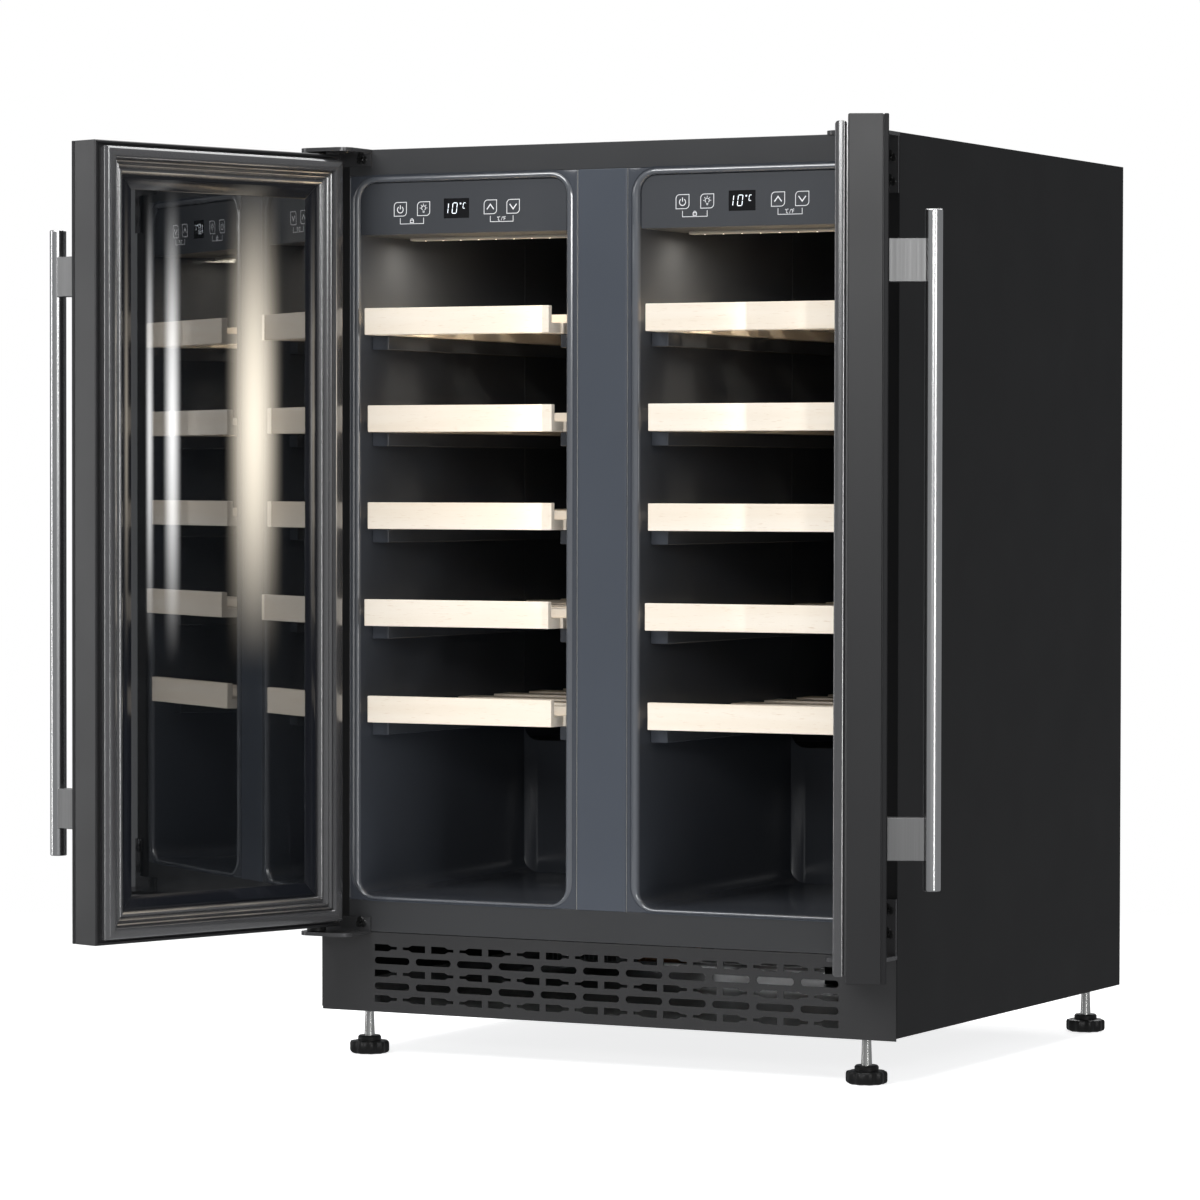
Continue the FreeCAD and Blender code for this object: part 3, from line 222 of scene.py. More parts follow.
FINISH = {
    "charcoal_steel": coated("charcoal_steel", (0.0125, 0.0125, 0.013), 0.5, depth=0.02, mottle=0.03,
                             Specular_IOR_Level=0.16),
    "front_steel": coated("front_steel", (0.035, 0.036, 0.038), 0.36, mottle=0.05, Specular_IOR_Level=0.4),
    "mullion_steel": coated("mullion_steel", (0.058, 0.067, 0.084), 0.3, mottle=0.06),
    "plinth_steel": coated("plinth_steel", (0.031, 0.031, 0.032), 0.45, mottle=0.04, Specular_IOR_Level=0.25),
    "bracket_steel": coated("bracket_steel", (0.09, 0.09, 0.093), 0.22, Metallic=0.6),
    "screw_steel": coated("screw_steel", (0.03, 0.03, 0.03), 0.2, Metallic=0.6),
    "liner_plastic": coated("liner_plastic", (0.05, 0.056, 0.068), 0.24, grain=1500, mottle=0.05),
    "panel_plastic": coated("panel_plastic", (0.033, 0.0365, 0.043), 0.46, grain=1500, mottle=0.05),
    "duct_plastic": coated("duct_plastic", (0.03, 0.033, 0.04), 0.45, grain=1500),
    "fan_plastic": coated("fan_plastic", (0.02, 0.02, 0.022), 0.45, grain=1500),
    "door_profile": coated("door_profile", (0.014, 0.014, 0.015), 0.34, grain=1200, mottle=0.04),
    "door_front": coated("door_front", (0.014, 0.014, 0.015), 0.42, Specular_IOR_Level=0.2),
    "window_border": coated("window_border", (0.008, 0.009, 0.012), 0.1, depth=0.01, spread=0.02),
    "seal_rubber": coated("seal_rubber", (0.045, 0.045, 0.047), 0.2, grain=700, depth=0.01,
                          Specular_IOR_Level=1.0, Coat_Weight=1.0, Coat_IOR=1.9, Coat_Roughness=0.14),
    "spacer_bar": coated("spacer_bar", (0.012, 0.012, 0.012), 0.5),
    "bush_plastic": coated("bush_plastic", (0.02, 0.02, 0.02), 0.4),
    "display_lens": coated("display_lens", (0.004, 0.004, 0.005), 0.08, depth=0.005, spread=0.02),
    # The panel's print is given a painted glow: it gives off light as if lit, though it is no lamp.
    "print_painted_glow": glowing("print_painted_glow", (0.75, 0.76, 0.78), 0.2),
    "display_light": glowing("display_light", (0.88, 0.93, 1.0), 0.9),
    "lamp_lens": glowing("lamp_lens", (0.3, 0.3, 0.29), 0.06, 0.3),
    "lamp_point": glowing("lamp_point", (1.0, 0.93, 0.8), 3),
    # The rolled lip is the liner's own plastic. Its coat and gloss are a finish, but it is coloured lighter
    # than the liner as a painted highlight.
    "liner_lip_painted_highlight": coated("liner_lip_painted_highlight", (0.09, 0.097, 0.11), 0.16, grain=1500, depth=0.01,
                        Specular_IOR_Level=1.0, Coat_Weight=0.6, Coat_IOR=1.8, Coat_Roughness=0.1),
    "handle_bar": brushed("handle_bar", (0.7, 0.7, 0.7), 0.22, "z"),
    "handle_post": brushed("handle_post", (0.24, 0.24, 0.24), 0.42, "z"),
    "zinc_steel": galvanised("zinc_steel"),
    "bright_zinc": brushed("bright_zinc", (0.72, 0.72, 0.7), 0.26, "z", fine=900),
    "foam": coated("foam", (0.6, 0.59, 0.55), 0.9, grain=300, depth=0.6),
    "sensor_plastic": coated("sensor_plastic", (0.7, 0.7, 0.68), 0.45),
    "evaporator_aluminium": brushed("evaporator_aluminium", (0.72, 0.73, 0.74), 0.32, "x"),
    "coil_aluminium": brushed("coil_aluminium", (0.55, 0.56, 0.57), 0.38, "y"),
    "compressor_enamel": coated("compressor_enamel", (0.012, 0.012, 0.013), 0.22, grain=250, depth=0.1),
    "mount_rubber": coated("mount_rubber", (0.015, 0.015, 0.015), 0.7, grain=500),
    "tray_plastic": coated("tray_plastic", (0.03, 0.03, 0.03), 0.6),
    "copper": brushed("copper", (0.62, 0.3, 0.17), 0.3, "z", fine=900),
    "inlet_plastic": coated("inlet_plastic", (0.015, 0.015, 0.015), 0.5),
    "foot_plastic": coated("foot_plastic", (0.007, 0.007, 0.007), 0.34, Specular_IOR_Level=0.3),
    "beech_across": beech("beech_across", "x"),
    "beech_back": beech("beech_back", "y"),
    "door_glass": tinted_glass("door_glass"),
}


# ---------------------------------------------------------------- mesh helpers

def soften(obj, width, segments=2, weld=False):
    """Rounds a piece's hard edges by a width in millimetres."""
    if weld:
        joined = obj.modifiers.new("weld", "WELD")
        joined.merge_threshold = WELD_WITHIN * MM
    bevel = obj.modifiers.new("edges", "BEVEL")
    bevel.width = width * MM
    bevel.segments = segments
    bevel.limit_method = "ANGLE"
    bevel.angle_limit = BEVEL_ABOVE
    bevel.harden_normals = not weld
    if weld:
        obj.modifiers.new("flats", "WEIGHTED_NORMAL").weight = FLAT_WEIGHT


def piece(name, bm, finishes, body, stands_for=(), matrix=None, edge=0, segments=2):
    """Turns a mesh drawn in millimetres into a piece that rides on a CAD body."""
    bmesh.ops.recalc_face_normals(bm, faces=bm.faces)
    bmesh.ops.scale(bm, vec=Vector((MM, MM, MM)), verts=bm.verts)
    for side in bm.edges:
        side.smooth = side.calc_face_angle(0) < SMOOTH_BELOW
    for face in bm.faces:
        face.smooth = True
    mesh = bpy.data.meshes.new(name)
    bm.to_mesh(mesh)
    bm.free()
    obj = bpy.data.objects.new(name, mesh)
    bpy.context.scene.collection.objects.link(obj)
    for finish in finishes:
        mesh.materials.append(FINISH[finish])
    if matrix is not None:
        obj.matrix_world = matrix
    if edge:
        soften(obj, edge, segments)
    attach(obj, body)
    if stands_for:
        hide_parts(*stands_for)
    return obj


def brick(bm, x, y, z, finish=0):
    """A box between two values on each axis."""
    corners = [bm.verts.new((a, b, c)) for a in sorted(x) for b in sorted(y) for c in sorted(z)]
    for face in ((0, 1, 3, 2), (4, 6, 7, 5), (0, 4, 5, 1), (2, 3, 7, 6), (0, 2, 6, 4), (1, 5, 7, 3)):
        bm.faces.new([corners[i] for i in face]).material_index = finish


def skin(bm, loops, closed=False, finishes=None):
    """Quads between each loop of points and the next; closed joins the last loop to the first."""
    rows = [[bm.verts.new(point) for point in row] for row in loops]
    pairs = list(zip(rows, rows[1:])) + ([(rows[-1], rows[0])] if closed else [])
    for index, (first, second) in enumerate(pairs):
        count = len(first)
        for k in range(count):
            n = (k + 1) % count
            face = bm.faces.new((first[k], first[n], second[n], second[k]))
            face.material_index = finishes[index] if finishes else 0
    return rows


def rounded_loop(rect, y, grow, radius):
    """Points round a rectangle (x low, x high, z low, z high) with rounded corners, at depth y."""
    x_low, x_high, z_low, z_high = rect[0] - grow, rect[1] + grow, rect[2] - grow, rect[3] + grow
    corners = ((x_high, z_low, -1, 1, -90), (x_high, z_high, -1, -1, 0),
               (x_low, z_high, 1, -1, 90), (x_low, z_low, 1, 1, 180))
    points = []
    for x, z, to_x, to_z, start in corners:
        for step in range(CORNER_STEPS + 1):
            angle = math.radians(start + 90 * step / CORNER_STEPS)
            points.append((x + radius * (to_x + math.cos(angle)), y, z + radius * (to_z + math.sin(angle))))
    return points


def mitred(bm, rect, outline, gap, finishes=None):
    """A closed outline of (inward, depth) points run along a rectangle's sides, mitred at its corners."""
    x_low, x_high, z_low, z_high = rect
    for side in range(4):
        ends = []
        for at_end in (0, 1):
            row = []
            for inward, depth in outline:
                corners = ((x_low + inward, z_low + inward), (x_high - inward, z_low + inward),
                           (x_high - inward, z_high - inward), (x_low + inward, z_high - inward))
                start, end = Vector(corners[side]), Vector(corners[(side + 1) % 4])
                along = (end - start).normalized() * gap
                point = end - along if at_end else start + along
                row.append((point.x, depth, point.y))
            ends.append([bm.verts.new(point) for point in row])
        count = len(outline)
        for k in range(count):
            n = (k + 1) % count
            face = bm.faces.new((ends[0][k], ends[0][n], ends[1][n], ends[1][k]))
            face.material_index = finishes[k] if finishes else 0
        for end in ends:
            bm.faces.new(end).material_index = finishes[0] if finishes else 0


def turned(bm, outline, centre, axis="z", steps=32, closed=False, wave=0, lobes=0, finish=0):
    """An outline of (radius, height) points turned about an axis; lobes scallop it by a share of radius."""
    rows = []
    for radius, height in outline:
        row = []
        for step in range(steps):
            angle = 2 * math.pi * step / steps
            reach = radius * (1 - wave * (0.5 + 0.5 * math.cos(lobes * angle)))
            a, b = reach * math.cos(angle), reach * math.sin(angle)
            offset = {"x": (height, a, b), "y": (a, height, b), "z": (a, b, height)}[axis]
            row.append(tuple(c + o for c, o in zip(centre, offset)))
        rows.append(row)
    made = skin(bm, rows, closed=closed, finishes=[finish] * len(rows))
    if not closed:
        for row in (made[0], made[-1]):
            bm.faces.new(row).material_index = finish


def stroke(bm, points, width, y, closed=False):
    """A flat printed line of even width through (x, z) points, raised a hair from depth y."""
    count = len(points)
    lefts, rights = [], []
    for k, point in enumerate(points):
        here = Vector(point)
        before = Vector(points[k - 1]) if closed or k else here * 2 - Vector(points[1])
        if closed or k < count - 1:
            after = Vector(points[(k + 1) % count])
        else:
            after = here * 2 - Vector(points[k - 1])
        along = ((here - before).normalized() + (after - here).normalized()).normalized()
        lean = max(0.5, along.dot((after - here).normalized()))
        across = Vector((-along.y, along.x)) * width / 2 / lean
        lefts.append(here + across)
        rights.append(here - across)
    raised = y - PRINT_THICK
    rows = [[(p.x, depth, p.y) for p in side] for side, depth in
            ((lefts, y), (lefts, raised), (rights, raised), (rights, y))]
    columns = list(zip(*rows))
    skin(bm, columns, closed=closed)


def islands(node, apart=6):
    """Centres in millimetres of the separate bodies in a CAD node, grouped by how far apart they are."""
    found = []
    for vertex in frame["nodes"][node].data.vertices:
        point = vertex.co / MM
        near = [group for group in found if (group[0] - point).length < apart]
        if near:
            near[0].append(point)
        else:
            found.append([point])
    centres = []
    for group in found:
        centres.append(sum(group, Vector()) / len(group))
    return centres


def keep(node, finish, edge=0.0, segments=2):
    """Shows a CAD node as it is, with its finish and slightly rounded edges."""
    obj = frame["nodes"][node]
    obj.data.materials.clear()
    obj.data.materials.append(FINISH[finish])
    if edge:
        soften(obj, edge, segments, weld=True)


# ---------------------------------------------------------------- cabinet

def cabinet_shell():
    for side in SIDES:
        keep(f"side_panel_{side}", "charcoal_steel", 0.45)
    keep("top_panel", "charcoal_steel", 0.3)
    keep("back_panel", "zinc_steel")
    keep("rear_cover", "zinc_steel")
    keep("base_tray", "zinc_steel", 0.4)
    keep("front_rail_top", "front_steel", 0.5)
    keep("front_rail_bottom", "front_steel", 0.5)
    keep("mullion_cover", "mullion_steel", 0.5)
    keep("kick_plate", "plinth_steel")
    keep("insulation_foam", "foam")
    keep("power_inlet", "inlet_plastic", 0.4)


CELL = {"half_gap": 38, "width": 219, "low": 151, "high": 822, "corner": 16, "step_back": 330,
        "step_high": 283}
CELL_CENTRE = CELL["half_gap"] + CELL["width"] / 2
LINER_SHEET = 1.2
FLANGE_ROUND = 0.6
FLANGE_EDGE = ((1.2, -0.1), (0.3, -0.1), (0.0, -0.5))
LIP_REACH, LIP_LOW, LIP_HIGH = 8.4, 3.6, 6.2
LIP_ROLL = ((LIP_REACH, 0.0), (7.9, 0.55), (7.2, 0.6), (6.4, 0.1), (5.4, -0.4))
LIP_ROUND, LIP_PROUD, LIP_STEPS = 4.0, 0.6, 6
# Loops of the rolled lip that get the lighter lip colour, a painted highlight.
LIP_PAINTED_HIGHLIGHT = range(5, 14)
STEP_EDGE = 0.5
BACK_ROUND = ((8, 0), (1.5, 2.5), (0, 8))
LINER_MIDDLE = 200


def lip_loop(cell, outside, depth):
    """A loop of the rolled lip, which narrows where the flange under and over the opening is narrow."""
    share = outside / LIP_REACH
    rect = (cell[0] - outside, cell[1] + outside, cell[2] - LIP_LOW * share, cell[3] + LIP_HIGH * share)
    return rounded_loop(rect, depth, 0, CELL["corner"] + outside)


def liner(side):
    """A compartment's moulded liner: front flange, rolled lip, walls, and the step over the compressor; the
    rolled lip is coloured lighter than the rest as a painted highlight.
    """
    low, high = box_mm(f"liner_{side}")
    flange = (low.x, high.x, low.z, high.z)
    across = sorted(SIDES[side] * x for x in (CELL["half_gap"], CELL["half_gap"] + CELL["width"]))
    cell = (*across, CELL["low"], CELL["high"])
    raised = (*across, CELL["step_high"], CELL["high"])
    back = high.y - LINER_SHEET
    corner = CELL["corner"]
    loops = [rounded_loop(flange, depth, grow, FLANGE_ROUND) for depth, grow in FLANGE_EDGE]
    loops += [lip_loop(cell, outside, depth) for outside, depth in LIP_ROLL]
    for turn in range(LIP_STEPS + 1):
        angle = math.radians(90 * turn / LIP_STEPS)
        depth = LIP_ROUND * (1 - math.cos(angle)) - LIP_PROUD
        loops.append(lip_loop(cell, LIP_ROUND * (1 - math.sin(angle)), depth))
    step_back = CELL["step_back"]
    loops.append(rounded_loop(cell, step_back - STEP_EDGE, 0, corner))
    loops.append(rounded_loop(cell, step_back, -STEP_EDGE, corner))
    loops.append(rounded_loop(raised, step_back, 0, corner))
    loops += [rounded_loop(raised, back - near, -inset, corner - inset) for near, inset in BACK_ROUND]
    bm = bmesh.new()
    rows = skin(bm, loops, finishes=[int(index in LIP_PAINTED_HIGHLIGHT) for index in range(len(loops))])
    bm.faces.new(rows[-1])
    bmesh.ops.dissolve_degenerate(bm, dist=0.001, edges=bm.edges)
    obj = piece(f"liner_{side}_moulding", bm, ["liner_plastic", "liner_lip_painted_highlight"], "cabinet",
                [f"liner_{side}"])
    sheet = obj.modifiers.new("sheet", "SOLIDIFY")
    sheet.thickness = LINER_SHEET * MM
    sheet.offset = -1 if inward_normals(obj, cell) else 1


def inward_normals(obj, cell):
    """Whether a liner's faces look into the compartment."""
    centre = Vector(((cell[0] + cell[1]) / 2, LINER_MIDDLE, (cell[2] + cell[3]) / 2)) * MM
    votes = 0
    for face in obj.data.polygons:
        looks_in = face.normal.dot(centre - face.center) > 0
        votes += face.area if looks_in else -face.area
    return votes > 0


GUARD_RINGS, GUARD_WIRE, GUARD_DEEP = (10, 19, 28, 37), 0.9, 1
ARM_REACH, ARM_FRONT, ARM_BACK, ARM_HALF = 41.6, 0.4, 1.8, 0.8


def fan_guard(side):
    """Wire rings and two crossed arms over the fan's outlet in the duct cover."""
    fan = Vector(JOINTS[f"fan_{side}_spin"]["pos_m"]) / MM
    front = box_mm("air_duct_covers")[0].y
    bm = bmesh.new()
    around = [math.radians(45 * k) for k in range(8)]
    for radius in GUARD_RINGS:
        outline = [(radius + GUARD_WIRE * math.cos(a), GUARD_WIRE * math.sin(a)) for a in around]
        turned(bm, outline, (fan.x, front + GUARD_DEEP, fan.z), "y", 40, closed=True)
    for lean in (45, 135):
        arm = Matrix.Rotation(math.radians(lean), 4, "Y")
        start = len(bm.verts)
        brick(bm, (-ARM_REACH, ARM_REACH), (ARM_FRONT, ARM_BACK), (-ARM_HALF, ARM_HALF))
        bm.verts.ensure_lookup_table()
        new = bm.verts[start:]
        bmesh.ops.transform(bm, matrix=Matrix.Translation((fan.x, front, fan.z)) @ arm, verts=new)
    piece(f"fan_guard_{side}", bm, ["fan_plastic"], "cabinet")


def compartment_fittings():
    keep("shelf_runners", "liner_plastic", 1.2, 3)
    keep("air_duct_covers", "duct_plastic", 0.4)
    keep("temperature_sensors", "sensor_plastic", 0.5)
    keep("evaporators", "evaporator_aluminium")
    keep("fan_frames", "fan_plastic", 0.4)
    for side in SIDES:
        fan_guard(side)
        keep(f"fan_rotor_{side}", "fan_plastic", 0.3)


def machine_bay():
    keep("compressor", "compressor_enamel", 0.8, 3)
    keep("compressor_mounts", "mount_rubber", 0.4)
    keep("condenser_coil", "coil_aluminium")
    keep("condenser_fan_rotor", "fan_plastic", 0.3)
    keep("drip_tray", "tray_plastic", 0.5)
    keep("refrigerant_pipes", "copper")
    keep("filter_drier", "copper", 0.5)


# ---------------------------------------------------------------- shelves

BAR_HALF, BAR_DEEP, LIP_THICK = 97.75, 24, 6.5
RAIL_WIDE, RAIL_TALL = 16, 9.5
SLATS, SLAT_START, SLAT_WIDE, SLAT_THICK = 6, 10, 34, 8


def shelf(name):
    """A beech shelf: a rebated front bar, two rails from front to back, and slats across them."""
    low, high = box_mm(name)
    centre = (low.x + high.x) / 2
    lip_back, bar_back = low.y + LIP_THICK, low.y + BAR_DEEP
    rail_top = low.z + RAIL_TALL
    profile = ((low.y, low.z), (bar_back, low.z), (bar_back, rail_top), (lip_back, rail_top),
               (lip_back, high.z), (low.y, high.z))
    bm = bmesh.new()
    ends = skin(bm, [[(x, y, z) for y, z in profile] for x in (centre - BAR_HALF, centre + BAR_HALF)])
    for end in ends:
        bm.faces.new(end)
    first = bar_back + SLAT_START
    pitch = (high.y - SLAT_WIDE - first) / (SLATS - 1)
    for k in range(SLATS):
        front = first + k * pitch
        brick(bm, (low.x, high.x), (front, front + SLAT_WIDE), (rail_top, rail_top + SLAT_THICK))
    for edge in (low.x, high.x - RAIL_WIDE):
        brick(bm, (edge, edge + RAIL_WIDE), (bar_back, high.y), (low.z, rail_top), 1)
    piece(f"{name}_beech", bm, ["beech_across", "beech_back"], name, [name], edge=0.7, segments=3)


# ---------------------------------------------------------------- doors

def opened(side):
    """Carries a point drawn with the door closed to where it is with the door open."""
    hinge = JOINTS[f"door_{side}_hinge"]
    pin = Matrix.Translation(hinge["pos_m"])
    turn = Matrix.Rotation(-math.radians(hinge["range_deg"][0]), 4, Vector(hinge["axis"]))
    return pin @ turn @ pin.inverted()


DOOR_FREE, DOOR_SIDE, DOOR_LOW, DOOR_HIGH = 1.5, 297, 124, 847
DOOR_FRONT, DOOR_BACK = -46, -12
BUSH_R, BUSH_DEEP, BUSH_PAST = 7.1, 15.5, 1
MITRE_GAP, FRAME_EDGE = 0.12, 0.18
# An outline is a list of (inward from the door's edge, depth): front plate, side, back, window border.
FRAME_OUTLINE = [(0.0, -45.4), (0.0, -42.4), (0.7, -42.0), (0.7, -41.3), (0.0, -40.9), (0.0, -13.0),
                 (0.9, -12.1), (2.6, -12.0), (3.4, -13.4), (5.2, -13.4), (5.4, -12.4), (29.8, -12.4),
                 (31.4, -12.0), (33.0, -12.2), (42.2, -13.6), (43.0, -14.0), (43.0, -44.6), (41.8, -46.0),
                 (0.6, -46.0)]
PLATE_START, PROFILE_SIDES, BORDER_SIDES, PLATE_END = 1, 10, 5, 3
# The seal's outline: a flat sealing band, then three folding beads.
SEAL_OUTLINE = [(7.0, -12.3), (7.0, -11.0), (5.9, -9.6), (5.5, -7.5), (5.5, -4.6), (5.9, -2.9), (6.7, -1.8),
                (8.0, -1.2), (14.6, -1.2), (15.7, -1.6), (16.2, -2.6), (16.9, -5.2), (17.4, -4.5),
                (18.2, -4.0), (18.9, -4.5), (20.0, -6.7), (20.8, -5.8), (21.8, -5.2), (22.7, -5.9),
                (24.2, -9.0), (25.2, -8.4), (27.0, -8.0), (28.5, -8.8), (29.4, -10.6), (29.6, -12.3)]
SEAL_GAP, SEAL_KEEPS = 0.06, 0.75
BAR_X, BAR_Y, BAR_R, BAR_LOW, BAR_HIGH, BAR_CHAMFER = 16.5, -83.5, 7.5, 201, 768.5, 0.7
POST_WIDE, POST_TALL, POST_SUNK, POSTS = 13, 36, 1.2, (244.5, 726)


def door_rect(side):
    across = sorted((SIDES[side] * DOOR_FREE, SIDES[side] * DOOR_SIDE))
    return (*across, DOOR_LOW, DOOR_HIGH)


def carve(obj, cutter):
    """Cuts one mesh out of another for good."""
    cut = obj.modifiers.new("cut", "BOOLEAN")
    cut.object = cutter
    cut.operation = "DIFFERENCE"
    cut.solver = "EXACT"
    bpy.context.view_layer.update()
    solid = obj.evaluated_get(bpy.context.evaluated_depsgraph_get())
    obj.data = bpy.data.meshes.new_from_object(solid)
    obj.modifiers.remove(cut)
    bpy.data.objects.remove(cutter)


def door_frame(side):
    """The mitred door frame: front plate, side profile, channel for the seal, and the window's border."""
    plate, profile, border = 0, 1, 2
    finishes = [plate] * PLATE_START + [profile] * PROFILE_SIDES
    finishes += [border] * BORDER_SIDES + [plate] * PLATE_END
    bm = bmesh.new()
    mitred(bm, door_rect(side), FRAME_OUTLINE, MITRE_GAP, finishes)
    name = f"door_{side}_frame"
    obj = piece(f"{name}_mitred", bm, ["door_front", "door_profile", "window_border"], f"door_{side}",
                [name], opened(side))
    holes = bmesh.new()
    pin = Vector(JOINTS[f"door_{side}_hinge"]["pos_m"]) / MM
    for end, way in ((DOOR_LOW, 1), (DOOR_HIGH, -1)):
        turned(holes, [(BUSH_R, -BUSH_PAST * way), (BUSH_R, BUSH_DEEP * way)], (pin.x, pin.y, end))
    cutter = piece("bush_holes", holes, ["door_profile"], f"door_{side}", matrix=opened(side))
    carve(obj, cutter)
    soften(obj, FRAME_EDGE)


def door_seal(side):
    """The magnetic seal: a flat sealing band, then beads, which fold on the real seal when the door closes;
    here they keep their shape.
    """
    bm = bmesh.new()
    mitred(bm, door_rect(side), SEAL_OUTLINE, SEAL_GAP)
    name = f"door_{side}_seal"
    matrix = opened(side)
    obj = piece(f"{name}_ribbed", bm, ["seal_rubber"], f"door_{side}", [name], matrix)
    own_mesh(obj)


def door_handle(side):
    """A round bar with chamfered ends on two square posts."""
    x = SIDES[side] * BAR_X
    bm = bmesh.new()
    end_r = BAR_R - BAR_CHAMFER
    turned(bm, [(end_r, BAR_LOW), (BAR_R, BAR_LOW + BAR_CHAMFER), (BAR_R, BAR_HIGH - BAR_CHAMFER),
                (end_r, BAR_HIGH)], (x, BAR_Y, 0), steps=48)
    for z in POSTS:
        brick(bm, (x - POST_WIDE / 2, x + POST_WIDE / 2), (BAR_Y + BAR_R - POST_SUNK, DOOR_FRONT),
              (z - POST_TALL / 2, z + POST_TALL / 2), 1)
    name = f"door_{side}_handle"
    piece(f"{name}_bar", bm, ["handle_bar", "handle_post"], f"door_{side}", [name],
          opened(side), edge=0.5, segments=3)


def door(side):
    door_frame(side)
    door_seal(side)
    door_handle(side)
    keep(f"door_{side}_glass", "door_glass")
    keep(f"door_{side}_spacer", "spacer_bar")
    keep(f"door_{side}_bushes", "bush_plastic", 0.3)


# ---------------------------------------------------------------- hinges

SCREW_R, SCREW_TOP, SCREW_SKIRT, SCREW_STEPS = 3.6, 0.8, 0.25, 24
CROSS_LONG, CROSS_HALF, CROSS_FLOOR = 2.2, 0.45, 0.1


def hinge_screws():
    """Domed screw heads with a cross recess."""
    low, high = box_mm("hinge_screws")
    bm = bmesh.new()
    a, b = CROSS_HALF, CROSS_LONG
    cross = [(a, a), (a, b), (-a, b), (-a, a), (-b, a), (-b, -a), (-a, -a), (-a, -b), (a, -b), (a, -a),
             (b, -a), (b, a)]
    around = [2 * math.pi * k / SCREW_STEPS for k in range(SCREW_STEPS)]
    head = ((SCREW_R, high.y), (SCREW_R, high.y - SCREW_SKIRT), (SCREW_R * SCREW_TOP, low.y))
    for centre in islands("hinge_screws"):
        loops = []
        for r, y in head:
            loops.append([(centre.x + math.cos(t) * r, y, centre.z + math.sin(t) * r) for t in around])
        rows = skin(bm, loops)
        bm.faces.new(rows[0])
        depths = (low.y, high.y - CROSS_FLOOR)
        slots = skin(bm, [[(centre.x + x, y, centre.z + z) for x, z in cross] for y in depths])
        bm.faces.new(slots[-1])
        edges = []
        for row in (rows[-1], slots[0]):
            edges += [bm.edges.get((row[k], row[(k + 1) % len(row)])) for k in range(len(row))]
        bmesh.ops.triangle_fill(bm, use_beauty=True, edges=edges)
    piece("hinge_screw_heads", bm, ["screw_steel"], "cabinet", ["hinge_screws"])


def hinges():
    keep("hinge_brackets", "bracket_steel", 0.8, 3)
    hinge_screws()


# ---------------------------------------------------------------- control panels and lights

LINE = 0.75
KEYS = {"power": -67, "light": -42, "up": 29, "down": 53}
KEY_HALF, KEY_LOW, KEY_HIGH, KEY_BEND = 6.6, 790.2, 803, 3.6
POWER_R, POWER_STEM, POWER_DROP = 3.1, 3.8, 0.4
BULB_R, BULB_RISE, RAY_NEAR, RAY_FAR = 2.1, 0.6, 0.8, 1.9
BULB_BASES = ((1.1, 2.9), (0.8, 4.0))
ARROW_HALF, ARROW_BACK, ARROW_TIP = 3.6, 2.2, 2.4
LINK_DROP, LINK_GAP = 7.4, 2
LOCK_HALF, LOCK_LOW, LOCK_HIGH, SHACKLE_R, SHACKLE_RISE = 1.7, 1.1, 3.4, 1.2, 3.7
UNIT_DROP, UNIT_TALL, UNITS = 6.3, 3.4, ((-3.6, "c"), (2.2, "f"))
DEGREE_X, DEGREE_RISE, DEGREE_R = 0.7, 3.0, 0.4
DISPLAY_X, DIGIT_LOW, DIGIT_HIGH = -7, 791.6, 801.2
DIGIT_WIDE, DIGIT_LEAN, DIGIT_GAP = 0.48, 0.13, 0.09
SYMBOL_LIFT, FIGURE_DEEP = 0.02, 0.38
# The display's figures: shape, x, rise and height as shares of a full figure, and line width.
FIGURES = (("1", -14.2, 0, 1, 0.62), ("0", -5.0, 0, 1, 0.62), ("o", 3.4, 0.74, 0.24, 0.4),
           ("c", 6.6, 0.46, 0.52, 0.5))


def arc(centre, radius, start, end, steps=8):
    """Points of an arc in (x, z), angles in degrees."""
    angles = [math.radians(start + (end - start) * k / steps) for k in range(steps + 1)]
    return [(centre[0] + radius * math.cos(a), centre[1] + radius * math.sin(a)) for a in angles]


def key_outline(x):
    """A square key with its top left and bottom right corners rounded."""
    low, high, left, right, bend = KEY_LOW, KEY_HIGH, x - KEY_HALF, x + KEY_HALF, KEY_BEND
    points = [(left, low), *arc((right - bend, low + bend), bend, -90, 0), (right, high)]
    return points + arc((left + bend, high - bend), bend, 90, 180)


def power_symbol(bm, x, middle, y):
    """An open ring with a stem through its gap."""
    stroke(bm, arc((x, middle - POWER_DROP), POWER_R, 125, 415, 16), LINE, y)
    stroke(bm, [(x, middle), (x, middle + POWER_STEM)], LINE, y)


def lamp_symbol(bm, x, middle, y):
    """A bulb with two lines for its base and five rays."""
    bulb = (x, middle + BULB_RISE)
    stroke(bm, arc(bulb, BULB_R, -55, 235, 16), LINE * 0.8, y)
    for half, below in BULB_BASES:
        stroke(bm, [(x - half, bulb[1] - below), (x + half, bulb[1] - below)], LINE * 0.8, y)
    for lean in range(0, 181, 45):
        near, far = (arc(bulb, BULB_R + reach, lean, lean, 1)[0] for reach in (RAY_NEAR, RAY_FAR))
        stroke(bm, [near, far], LINE * 0.7, y)


def arrow_symbol(bm, x, middle, way, y):
    """A chevron that points up (way 1) or down (way -1)."""
    ends = middle - ARROW_BACK * way
    tip = middle + ARROW_TIP * way
    stroke(bm, [(x - ARROW_HALF, ends), (x, tip), (x + ARROW_HALF, ends)], LINE * 1.3, y)


def lock_symbol(bm, x, low, y):
    """A padlock: a box under a half ring."""
    left, right, bottom, top = x - LOCK_HALF, x + LOCK_HALF, low + LOCK_LOW, low + LOCK_HIGH
    stroke(bm, [(left, bottom), (right, bottom), (right, top), (left, top)], LINE * 0.8, y, closed=True)
    stroke(bm, arc((x, low + SHACKLE_RISE), SHACKLE_R, 0, 180), LINE * 0.6, y)


